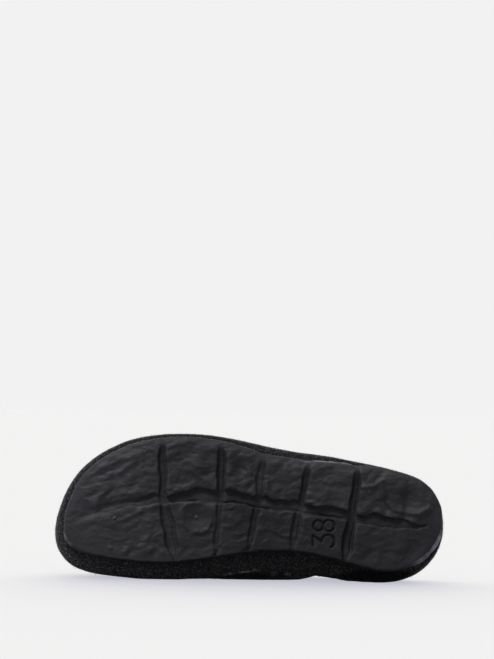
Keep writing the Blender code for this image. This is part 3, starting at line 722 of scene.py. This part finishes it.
digits = np.full(tread_z.shape, 1e3)
for strokes, floor_z in zip((THREE, EIGHT), DIGIT_FLOOR_Z):
    upright = np.stack([tread_z - floor_z, DIGIT_FOOT_X - x_plan], axis=-1) / DIGIT_SCALE
    digits = np.minimum(digits, stroke_distance(upright, strokes))
number_cut = 1.0 - stepped(digits, STROKE_HALF, 2 * STROKE_HALF)
print("number covers", int((number_cut > 0.5).sum()), "net points")

# %% [markdown]
# Now the heights are added up and the net is closed: the tread, the rounded side, and a plain top that
# the felt covers. The block faces are smoother round the number and in the dish. The side starts from
# the level of the tread's edge, so that channels run out through it as soft notches, and a slow wobble
# keeps its edge from being a perfect line.

# %% Heights and sides of the rubber
TREAD_DEPTH, FOOT_DEPTH, DIGIT_DEPTH = 3.0, 1.0, 1.3
# Share of the roughness left at the number and in the dish, and where it is back in full
NUMBER_ROUGH, NUMBER_CLEAR = 0.35, (1.0, 7.0)
DISH_ROUGH, DISH_CLEAR = 0.3, (0.9, 1.5)
# Side of the rubber from the tread's border: reach outwards and rise, in millimetres
RUBBER_SIDE = (
    (0.28, 0.06),
    (0.55, 0.22),
    (0.76, 0.48),
    (0.90, 0.85),
    (0.98, 1.40),
    (1.00, 2.20),
    (1.00, 3.60),
    (0.95, 5.20),
    (0.75, 6.60),
    (0.45, 7.40),
    (0.10, RUBBER_THICKNESS),
)
EDGE_WOBBLE, SIDE_CALM = 0.35, 0.14
# The side leans out at the inner corners of heel and toe: direction, reach, how far round, and the
# strength of a painted highlight there
FLARES = (((0.80, 0.60), 0.9, 0.16, 1.2), ((-0.86, 0.51), 0.6, 0.12, 0.45))
# A stretch of the outer edge gets a painted highlight too: its middle and half length
RIM_MIDDLE, RIM_HALF = 182.0, 18.0
TOP_RINGS = (0.6, 0.3, 0.0)

face = relief * calm * (NUMBER_ROUGH + (1.0 - NUMBER_ROUGH) * stepped(digits, *NUMBER_CLEAR))
face *= DISH_ROUGH + (1.0 - DISH_ROUGH) * stepped(dish_way, *DISH_CLEAR)
height = TREAD_DEPTH * channel + FOOT_DEPTH * foot + shoulder - face
height += DIGIT_DEPTH * number_cut + marks * (1.0 - channel)
rows = list(np.concatenate([tread_plan, (ground_line(x_plan) + height)[..., None]], axis=-1))
edge = height[-1]
flare = np.zeros(len(perimeter))
# Painted highlight on a stretch of the outer edge and on the inner corners of heel and toe
rim_highlight = (away[:, 1] < -0.5) * ease(1.2 - np.abs(perimeter[:, 0] - RIM_MIDDLE) / RIM_HALF)
for way, reach, span, rim_light_share in FLARES:
    round_corner = ease((away @ np.array(way) - 1.0 + span) / span)
    flare += reach * round_corner
    rim_highlight += rim_light_share * round_corner
wobble = EDGE_WOBBLE * field(perimeter, 8.0, 8.0, 2, 41.0)
for number, (reach, rise) in enumerate(RUBBER_SIDE):
    up = rise / RUBBER_THICKNESS
    lean = flare * ease(up * 2.5) * (1.0 - ease(up * 3.0 - 2.0))
    ring = perimeter + away * (reach + lean + wobble)[:, None]
    sunk = edge + rise * (1.0 - edge / RUBBER_THICKNESS)
    proud = rise + edge * max(0.0, 1.0 - SIDE_CALM * (number + 1))
    rows.append(np.column_stack([ring, ground_line(ring[:, 0]) + np.where(edge > 0.0, sunk, proud)]))
for part in TOP_RINGS:
    ring = spine_round + (perimeter - spine_round) * part
    rows.append(np.column_stack([ring, ground_line(ring[:, 0]) + RUBBER_THICKNESS]))
net = np.array(rows)
print("rubber net", net.shape, "relief of the edge mm", round(float(np.ptp(edge)), 2))

# %% [markdown]
# The rubber's colour carries painted light and shade. Painted light makes the toe lighter and painted
# shade the inner waist darker, painted shade sits in the corners of the channels, and painted highlights
# make edges and the tips of the pips grey. This could be painted as an image; a tone at each point of the
# net does the same without one, and the finish multiplies its colour by it.

# %% Tone of the rubber
# Painted light at the toe on the outer and inner side, and painted shade on the inner waist, which comes
# back a little at the heel
TOE_PAINTED_LIGHT, TOE_INNER_PAINTED_LIGHT, INNER_PAINTED_SHADE, HEEL_BACK = 0.38, 0.06, 0.47, 0.32
# Stations between which the toe ends, the waist starts and the heel comes back
TOE_ENDS, WAIST_STARTS, HEEL_STARTS = (40.0, 85.0), (100.0, 135.0), (195.0, 215.0)
# Painted shade in the channels and at the foot of their walls, painted highlights on edges and pips
CHANNEL_PAINTED_SHADE, PAINTED_SHADE_DARK, EDGE_HIGHLIGHT, PIP_PAINTED_GLINT = 0.05, 0.55, 1.1, 2.5
# Painted highlight on the side: how light it is and how many rings of the side it covers
RIM_PAINTED_HIGHLIGHT, HIGHLIGHT_RINGS = 7.0, 7

tread_tone = np.ones(x_plan.shape)
# Painted light on the toe, and painted shade on the inner waist
tread_tone += (1.0 - stepped(x_plan, *TOE_ENDS)) * np.where(outward_side, TOE_PAINTED_LIGHT, TOE_INNER_PAINTED_LIGHT)
waist = stepped(x_plan, *WAIST_STARTS) * (1.0 - HEEL_BACK * stepped(x_plan, *HEEL_STARTS))
tread_tone -= waist * np.where(outward_side, 0.0, INNER_PAINTED_SHADE)
# Painted shade on the channel floors, at the foot of their broad walls and in the troughs
tread_tone *= (1.0 - CHANNEL_PAINTED_SHADE * channel) * (1.0 - PAINTED_SHADE_DARK * painted_shade)
# Painted highlight on the edges over the steep walls
tread_tone *= 1.0 + EDGE_HIGHLIGHT * edge_highlight * patches(12.0, 12.0, 83.0, 0.45)
tread_tone += PIP_PAINTED_GLINT * pip_glint
tone = np.ones(net.shape[:2])
tone[: len(tread_tone)] = tread_tone
# Painted highlight on the first rings of the side
highlight_patches = ease(field(perimeter, 6.0, 6.0, 2, 71.0) + 0.75)
tone[len(tread_tone) - 1 : len(tread_tone) + HIGHLIGHT_RINGS] += RIM_PAINTED_HIGHLIGHT * rim_highlight * highlight_patches
print("rubber tone", extent(tone))

# %% [markdown]
# The net becomes one closed mesh. Its first and last rows run along the middle line there and back, so
# points in the same place are merged, and the normals are turned outwards before it is shaded smooth.

# %% Make the rubber sole


def mark_points(mesh, name, values):
    """Stores a value at each point of a mesh under a name."""
    mesh.attributes.new(name, "FLOAT", "POINT").data.foreach_set("value", values)


def net_mesh(name, points, tone):
    """A closed mesh from rows of points that each run once round, with a tone at each point."""
    count = points.shape[1]
    index = np.arange(points.shape[0] * count).reshape(points.shape[:2])
    quads = np.stack(
        [index[:-1], np.roll(index, -1, 1)[:-1], np.roll(index, -1, 1)[1:], index[1:]], axis=-1
    ).reshape(-1, 4)
    mesh = bpy.data.meshes.new(name)
    mesh.from_pydata((to_row(points.reshape(-1, 3)) * MM).tolist(), [], quads.tolist())
    mark_points(mesh, "tone", tone.ravel())
    work = bmesh.new()
    work.from_mesh(mesh)
    bmesh.ops.remove_doubles(work, verts=work.verts[:], dist=1e-6)
    bmesh.ops.dissolve_degenerate(work, edges=work.edges[:], dist=1e-7)
    bmesh.ops.recalc_face_normals(work, faces=work.faces[:])
    work.to_mesh(mesh)
    work.free()
    mesh.shade_smooth()
    return mesh


sole = link_new("rubber_sole", net_mesh("rubber_sole", net, tone))
print("rubber sole faces", len(sole.data.polygons))

# %% [markdown]
# A finish is a small node tree, and adding its nodes one by one is wordy. So a class keeps a material,
# its tree and its shader together, with one method for each kind of node that rubber and felt need.

# %% Helper for finishes


class Finish:
    """A material whose nodes are added one by one."""

    def __init__(self, name):
        self.material = bpy.data.materials.new(name)
        self.material.use_nodes = True
        self.tree = self.material.node_tree
        self.shader = self.tree.nodes["Principled BSDF"]
        self.place = self.add("ShaderNodeTexCoord").outputs["Object"]

    def add(self, kind, **settings):
        return add_node(self.tree, kind, **settings)

    def link(self, output, target):
        self.tree.links.new(output, target)

    def noise(self, scale, detail=2.0, roughness=0.5, stretch=None, turn=(0.0, 0.0, 0.0)):
        """Noise of a given scale per metre, stretched and turned when asked."""
        texture = self.add("ShaderNodeTexNoise")
        texture.inputs["Scale"].default_value = scale
        texture.inputs["Detail"].default_value = detail
        texture.inputs["Roughness"].default_value = roughness
        place = self.place
        if stretch:
            mapping = self.add("ShaderNodeMapping")
            mapping.inputs["Scale"].default_value = stretch
            mapping.inputs["Rotation"].default_value = turn
            self.link(place, mapping.inputs["Vector"])
            place = mapping.outputs["Vector"]
        self.link(place, texture.inputs["Vector"])
        return texture.outputs["Fac"]

    def ramp(self, value, stops):
        """A colour ramp through (position, colour) stops."""
        node = self.add("ShaderNodeValToRGB")
        elements = node.color_ramp.elements
        while len(elements) < len(stops):
            elements.new(0.5)
        for element, (position, colour) in zip(elements, stops):
            element.position = position
            element.color = (*colour, 1.0)
        self.link(value, node.inputs["Fac"])
        return node.outputs["Color"]

    def math(self, operation, first, second):
        """One sum on two values or numbers."""
        node = self.add("ShaderNodeMath", operation=operation)
        for socket, value in zip(node.inputs, (first, second)):
            if isinstance(value, (int, float)):
                socket.default_value = value
            else:
                self.link(value, socket)
        return node.outputs["Value"]

    def toned(self, colour):
        """A colour scaled by the tone at each point."""
        node = self.add("ShaderNodeVectorMath", operation="SCALE")
        tone = self.add("ShaderNodeAttribute", attribute_name="tone")
        self.link(colour, node.inputs[0])
        self.link(tone.outputs["Fac"], node.inputs["Scale"])
        return node.outputs["Vector"]

    def bump(self, height, distance, strength, under=None):
        """A bump layer, on top of another when given."""
        node = self.add("ShaderNodeBump")
        node.inputs["Distance"].default_value = distance
        node.inputs["Strength"].default_value = strength
        self.link(height, node.inputs["Height"])
        if under:
            self.link(under, node.inputs["Normal"])
        return node.outputs["Normal"]


print("kinds of node in a finish", [name for name in vars(Finish) if not name.startswith("_")])

# %% [markdown]
# Matte natural rubber: nearly black with a cool tint, broad soft gloss, and a fine moulded grain that
# only bump can carry at this size. Roughness varies slowly, as rubbed and untouched places do.

# %% Rubber finish
# Colours and roughness at the low and high end of their slow noises
RUBBER_DARK, RUBBER_LIGHT = (0.0150, 0.0147, 0.0180), (0.0206, 0.0201, 0.0246)
RUBBED_GLOSS, PLAIN_GLOSS = (0.60, 0.60, 0.60), (0.72, 0.72, 0.72)
NOISE_LOW, NOISE_HIGH = 0.3, 0.7

rubber = Finish("rubber_black")
black = rubber.ramp(rubber.noise(60.0, 3.0, 0.6), [(NOISE_LOW, RUBBER_DARK), (NOISE_HIGH, RUBBER_LIGHT)])
rubber.link(rubber.toned(black), rubber.shader.inputs["Base Color"])
gloss = rubber.ramp(rubber.noise(35.0, 2.0), [(NOISE_LOW, RUBBED_GLOSS), (NOISE_HIGH, PLAIN_GLOSS)])
rubber.link(gloss, rubber.shader.inputs["Roughness"])
rubber.shader.inputs["Specular IOR Level"].default_value = 0.28
coarse = rubber.bump(rubber.noise(420.0, 3.0, 0.6), 0.0005, 0.55)
fine = rubber.bump(rubber.noise(1900.0, 2.0, 0.5), 0.0002, 0.3, coarse)
rubber.link(fine, rubber.shader.inputs["Normal"])
sole.data.materials.append(rubber.material)
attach(sole, "root")
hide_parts("outsole")
print("rubber finish nodes", len(rubber.tree.nodes))

# %% [markdown]
# The felt pieces start from the packed solids too: the loose triangles of a copy are merged and paired
# into quads, subdivided smooth, and then pushed in and out a little, because felt is never quite even.
# Points that would go under the floor stay on it.

# %% Felt pieces from the solids
# Edges sharper than this stay creased by so much, and triangles pair up within these two angles
SHARP, KEPT_CREASE = math.radians(58.0), 0.85
PAIR_FACES, PAIR_SHAPE = math.radians(35.0), math.radians(60.0)


def apply_modifiers(made):
    """Replaces an object's mesh by what its modifiers make of it."""
    applied = bpy.data.meshes.new_from_object(made.evaluated_get(bpy.context.evaluated_depsgraph_get()))
    made.modifiers.clear()
    made.data = applied
    applied.name = made.name


def merged_copy(node, name, levels):
    """A smooth, finer copy of a solid, its sharp edges kept."""
    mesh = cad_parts[node].data.copy()
    mesh.name = name
    work = bmesh.new()
    work.from_mesh(mesh)
    bmesh.ops.remove_doubles(work, verts=work.verts[:], dist=1e-6)
    bmesh.ops.join_triangles(
        work,
        faces=work.faces[:],
        angle_face_threshold=PAIR_FACES,
        angle_shape_threshold=PAIR_SHAPE,
    )
    crease = work.edges.layers.float.new("crease_edge")
    for edge in work.edges:
        if edge.is_manifold and edge.calc_face_angle() > SHARP:
            edge[crease] = KEPT_CREASE
    work.to_mesh(mesh)
    work.free()
    made = link_new(name, mesh)
    made.data.materials.clear()
    smooth = made.modifiers.new("smooth", "SUBSURF")
    smooth.levels = levels
    smooth.render_levels = levels
    apply_modifiers(made)
    made.data.shade_smooth()
    return made


def mesh_points(made):
    """An object's points in the slipper's frame, in millimetres, and their normals there."""
    return to_slipper(at_points(made.data, "co") / MM), at_points(made.data, "normal") @ TURN


def set_points(made, points):
    """Writes points in the slipper's frame back, none of them under the floor."""
    row = to_row(points)
    row[:, 2] = np.maximum(row[:, 2], 0.0)
    made.data.vertices.foreach_set("co", (row * MM).ravel())
    made.data.update()


def lumps(points, size, seed):
    """Slow noise over points in space."""
    return np.array([noise.noise(Vector(p / size) + Vector((seed, 0.0, 0.0))) for p in points])


upper = merged_copy("upper", "felt_upper", 2)
midsole = merged_copy("midsole", "felt_midsole", 3)
insole = merged_copy("insole", "felt_insole", 2)
print("felt faces", [len(o.data.polygons) for o in (upper, midsole, insole)])

# %% [markdown]
# Creases are given in the slipper's own millimetres. Two shallow troughs cross the vamp where
# the foot bends, and small folds gather at the sides of the throat. Each is a soft trough along a line.
# The flank that lies on the floor swells in one broad ridge and is drawn in again before the heel.

# %% Creases and unevenness
# Each fold: start and end in x, y, h; depth in millimetres, below zero for a ridge; width
CREASES = (
    ((74.0, -44.0, 46.0), (92.0, 6.0, 74.0), 0.9, 6.0),
    ((92.0, -44.0, 48.0), (104.0, 2.0, 78.0), 0.6, 5.0),
    ((98.0, 33.0, 28.0), (120.0, 30.0, 52.0), 0.7, 5.0),
    ((128.0, -50.0, 22.0), (140.0, -46.0, 42.0), 0.6, 5.0),
    ((206.0, -36.0, 30.0), (236.0, -30.0, 26.0), 0.5, 5.0),
    ((100.0, 38.0, 24.0), (180.0, 38.0, 24.0), -6.0, 13.0),
    ((181.0, 46.0, 14.0), (181.0, 40.0, 44.0), 3.4, 9.0),
)
# Unevenness of the felt: size of the lumps, height, seed
FELT_LUMPS = ((26.0, 0.35, 4.0), (9.0, 0.16, 9.0), (3.5, 0.09, 14.0))


def crease_depth(points, normals):
    """How deep the creases are at each point; a ridge moves the outside of the wall alone."""
    depth = np.zeros(len(points))
    outside_wall = normals[:, 1] > 0.0
    for start, end, deep, width in CREASES:
        from_line, t = to_stretch(points, np.array(start), np.array(end))
        fade = np.sin(math.pi * np.clip(t, 0.05, 0.95))
        moved = outside_wall if deep < 0.0 else 1.0
        depth += deep * fade * bell(from_line, 0.0, width) * moved
    return depth


for made, creased in ((upper, True), (midsole, False), (insole, False)):
    points, normals = mesh_points(made)
    push = sum(amount * lumps(points, size, seed) for size, amount, seed in FELT_LUMPS)
    if creased:
        push = push - crease_depth(points, normals)
    set_points(made, points + normals * push[:, None])
print("creases", len(CREASES))

# %% [markdown]
# Along the floor the felt gathers in a fold: painted shade makes it nearly black below the fold's edge, a
# painted highlight lightens the edge itself for a short way, and painted light makes the felt under the
# toe a little paler. A tone at each point carries this, worked out from the station and the height over
# the floor.

# %% Tone of the felt
# Edge of the fold: stations and its heights over the floor there
FOLD_X = (104.0, 112.0, 135.0, 143.0, 166.0, 185.0, 205.0, 238.0, 250.0)
FOLD_Z = (0.0, 2.9, 6.5, 5.0, 2.0, 4.0, 8.5, 7.5, 0.0)
# How dark the painted shade is below the edge, how soft the edge is, and how long its ends fade
FOLD_PAINTED_SHADE, FOLD_SOFT, FOLD_FADE = 0.72, 2.4, 10.0
# The painted highlight on the edge: light, reach, and the stations where it comes and goes
FOLD_PAINTED_HIGHLIGHT, HIGHLIGHT_REACH, HIGHLIGHT_START, HIGHLIGHT_END = 7.0, 0.9, (106.0, 118.0), (150.0, 168.0)
# Painted light on the felt under the toe: light, the stations and the heights over the floor where it
# fades
FELT_TOE_PAINTED_LIGHT, FELT_TOE_LIGHT_END, FELT_TOE_LIGHT_TOP = 0.55, (60.0, 130.0), (12.0, 22.0)


def felt_tone(points):
    """Tone of the felt at each point: painted shade, highlight and light; 1 where nothing changes it."""
    x, z = points[:, 0], to_row(points)[:, 2]
    from_edge = z - np.interp(x, FOLD_X, FOLD_Z)
    tone = 1.0 + FELT_TOE_PAINTED_LIGHT * (1.0 - stepped(x, *FELT_TOE_LIGHT_END)) * (1.0 - stepped(z, *FELT_TOE_LIGHT_TOP))
    in_fold = ease((x - FOLD_X[0]) / FOLD_FADE) * ease((FOLD_X[-1] - x) / FOLD_FADE)
    tone *= 1.0 - FOLD_PAINTED_SHADE * in_fold * (1.0 - ease(from_edge / FOLD_SOFT + 0.5))
    run = stepped(x, *HIGHLIGHT_START) * (1.0 - stepped(x, *HIGHLIGHT_END))
    ragged = ease(lumps(points, 3.0, 5.0) * 1.6 + 0.5)
    return tone + FOLD_PAINTED_HIGHLIGHT * run * ragged * bell(from_edge, 0.0, HIGHLIGHT_REACH)


for made in (upper, midsole, insole):
    points, normals = mesh_points(made)
    faces_floor = (normals[:, 1] > 0.0) | (made is midsole)
    tones = np.where(faces_floor, felt_tone(points), 1.0)
    mark_points(made.data, "tone", tones)
    print(made.name, "tone", extent(tones))

# %% [markdown]
# Wool felt in a charcoal melange: dark fibres with lighter and brownish ones rolled in. Three stretched
# noises, turned different ways, read as short matted fibres, and a coarser one groups them into flecks.

# %% Felt finish
# Colours from the darkest fibres to the palest, by the mixed noise
FELT_STOPS = (
    (0.45, (0.0094, 0.0092, 0.0114)),
    (0.52, (0.0184, 0.0178, 0.0204)),
    (0.58, (0.0330, 0.0312, 0.0335)),
    (0.65, (0.0880, 0.0810, 0.0810)),
)
STRAND_TURNS = ((0.3, 0.2, 0.1), (1.1, 0.7, 1.3), (0.2, 1.4, 2.2))
STRAND_STRETCH = (1.0, 0.3, 1.0)
SHEEN_TINT = (0.75, 0.74, 0.76, 1.0)
FOOTBED_LIFT = 1.15


def felt_finish(name, lift):
    """Charcoal felt, a little lighter or darker by lift."""
    felt = Finish(name)
    strands = [felt.noise(950.0, 2.0, 0.6, STRAND_STRETCH, turn_by) for turn_by in STRAND_TURNS]
    matted = felt.math("MAXIMUM", felt.math("MAXIMUM", strands[0], strands[1]), strands[2])
    flecks = felt.noise(800.0, 2.0, 0.6)
    mixed = felt.math("ADD", felt.math("MULTIPLY", matted, 0.55), felt.math("MULTIPLY", flecks, 0.45))
    stops = [(place, tuple(v * lift for v in colour)) for place, colour in FELT_STOPS]
    felt.link(felt.toned(felt.ramp(mixed, stops)), felt.shader.inputs["Base Color"])
    felt.shader.inputs["Roughness"].default_value = 1.0
    felt.shader.inputs["Specular IOR Level"].default_value = 0.15
    felt.shader.inputs["Sheen Weight"].default_value = 0.24
    felt.shader.inputs["Sheen Roughness"].default_value = 0.4
    felt.shader.inputs["Sheen Tint"].default_value = SHEEN_TINT
    under = felt.bump(flecks, 0.0012, 0.6)
    felt.link(felt.bump(matted, 0.0008, 0.6, under), felt.shader.inputs["Normal"])
    return felt.material


charcoal = felt_finish("felt_charcoal", 1.0)
footbed = felt_finish("felt_footbed", FOOTBED_LIFT)
for made, material, node, slot in (
    (upper, charcoal, "upper", "felt_charcoal"),
    (midsole, charcoal, "midsole", "felt_charcoal"),
    (insole, footbed, "insole", "felt_footbed"),
):
    made.data.materials.append(material)
    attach(made, "root")
    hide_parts(node)
print("felt finishes", charcoal.name, footbed.name)

# %% [markdown]
# Fuzz is what tells felt from paint at the outline. A Geometry Nodes tree scatters points over a felt
# piece, stands a thin three-sided spike on each, tips it at random and realizes the lot as one mesh.

# %% Fuzz tree
FUZZ_INPUTS = (
    ("Density", "NodeSocketFloat"),
    ("Length", "NodeSocketFloat"),
    ("Radius", "NodeSocketFloat"),
    ("Seed", "NodeSocketInt"),
    ("Material", "NodeSocketMaterial"),
)
# How far a fibre may tip, in radians, and how small or large it may be
LEAN_OVER, FIBRE_SIZES = 1.15, (0.45, 1.25)
TIP_SEED, SIZE_SEED = 11, 5


def fuzz_tree():
    """Scatters short fibres over a mesh where its fuzz attribute allows it."""
    tree = bpy.data.node_groups.new("felt_fuzz", "GeometryNodeTree")
    tree.interface.new_socket(name="Geometry", in_out="INPUT", socket_type="NodeSocketGeometry")
    keys = {}
    for label, kind in FUZZ_INPUTS:
        keys[label] = tree.interface.new_socket(name=label, in_out="INPUT", socket_type=kind).identifier
    tree.interface.new_socket(name="Geometry", in_out="OUTPUT", socket_type="NodeSocketGeometry")

    def add(kind, **settings):
        return add_node(tree, kind, **settings)

    join = tree.links.new
    given = add("NodeGroupInput")
    where = add("GeometryNodeInputNamedAttribute", data_type="FLOAT")
    where.inputs["Name"].default_value = "fuzz"
    thick = add("ShaderNodeMath", operation="MULTIPLY")
    join(where.outputs["Attribute"], thick.inputs[0])
    join(given.outputs["Density"], thick.inputs[1])
    scatter = add("GeometryNodeDistributePointsOnFaces", distribute_method="RANDOM")
    join(given.outputs["Geometry"], scatter.inputs["Mesh"])
    join(thick.outputs["Value"], scatter.inputs["Density"])
    join(given.outputs["Seed"], scatter.inputs["Seed"])
    fibre = add("GeometryNodeMeshCone", fill_type="NGON")
    fibre.inputs["Vertices"].default_value = 3
    fibre.inputs["Radius Top"].default_value = 0.0
    join(given.outputs["Radius"], fibre.inputs["Radius Bottom"])
    join(given.outputs["Length"], fibre.inputs["Depth"])
    tip = add("FunctionNodeRandomValue", data_type="FLOAT_VECTOR")
    tip.inputs["Min"].default_value = (-LEAN_OVER, -LEAN_OVER, -math.pi)
    tip.inputs["Max"].default_value = (LEAN_OVER, LEAN_OVER, math.pi)
    tip.inputs["Seed"].default_value = TIP_SEED
    euler = add("FunctionNodeEulerToRotation")
    join(tip.outputs["Value"], euler.inputs["Euler"])
    turn_over = add("FunctionNodeRotateRotation", rotation_space="LOCAL")
    join(scatter.outputs["Rotation"], turn_over.inputs["Rotation"])
    join(euler.outputs["Rotation"], turn_over.inputs["Rotate By"])
    size = add("FunctionNodeRandomValue", data_type="FLOAT")
    size.inputs[2].default_value, size.inputs[3].default_value = FIBRE_SIZES
    size.inputs["Seed"].default_value = SIZE_SEED
    stand = add("GeometryNodeInstanceOnPoints")
    join(scatter.outputs["Points"], stand.inputs["Points"])
    join(fibre.outputs["Mesh"], stand.inputs["Instance"])
    join(turn_over.outputs["Rotation"], stand.inputs["Rotation"])
    join(size.outputs[1], stand.inputs["Scale"])
    real = add("GeometryNodeRealizeInstances")
    join(stand.outputs["Instances"], real.inputs["Geometry"])
    paint = add("GeometryNodeSetMaterial")
    join(real.outputs["Geometry"], paint.inputs["Geometry"])
    join(given.outputs["Material"], paint.inputs["Material"])
    join(paint.outputs["Geometry"], add("NodeGroupOutput").inputs["Geometry"])
    return tree, keys


fuzz_nodes, fuzz_keys = fuzz_tree()
print("fuzz tree nodes", len(fuzz_nodes.nodes))

# %% [markdown]
# Each felt piece grows its own fuzz: a copy of its mesh carries the tree, the fibres are taken out as a
# plain mesh, and the modifier is removed. A fuzz attribute keeps fibres off the floor, where they would
# stick through it, and off the faces that another layer hides.

# %% Fuzz on each felt piece
CLEAR_OF_FLOOR = 0.0022
# Piece, name, fibres per square metre, length and radius in millimetres, seed, slot
FUZZ = (
    (upper, "upper_fuzz", 420000.0, 1.7, 0.035, 3, "felt_charcoal"),
    (midsole, "midsole_fuzz", 700000.0, 1.5, 0.035, 7, "felt_charcoal"),
    (insole, "insole_fuzz", 260000.0, 1.3, 0.035, 9, "felt_footbed"),
)


def show_fuzz(made):
    """Marks where fibres may stand: off the floor, and not on the hidden faces of the layers."""
    points, normals = mesh_points(made)
    row = to_row(points) * MM
    allow = (row[:, 2] > CLEAR_OF_FLOOR).astype(float)
    if made is midsole:
        allow *= np.abs(normals[:, 2]) < 0.8
    if made is insole:
        allow *= normals[:, 2] > 0.3
    mark_points(made.data, "fuzz", allow)


for made, name, density, length, radius, seed, slot in FUZZ:
    show_fuzz(made)
    carrier = link_new(name, made.data.copy())
    grow = carrier.modifiers.new("fuzz", "NODES")
    grow.node_group = fuzz_nodes
    grow[fuzz_keys["Density"]] = density
    grow[fuzz_keys["Length"]] = length * MM
    grow[fuzz_keys["Radius"]] = radius * MM
    grow[fuzz_keys["Seed"]] = seed
    grow[fuzz_keys["Material"]] = made.data.materials[0]
    apply_modifiers(carrier)
    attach(carrier, "root")
    print(name, len(carrier.data.polygons), "faces")

# %% [markdown]
# Fuzz and relief go past the solids by a millimetre or two.
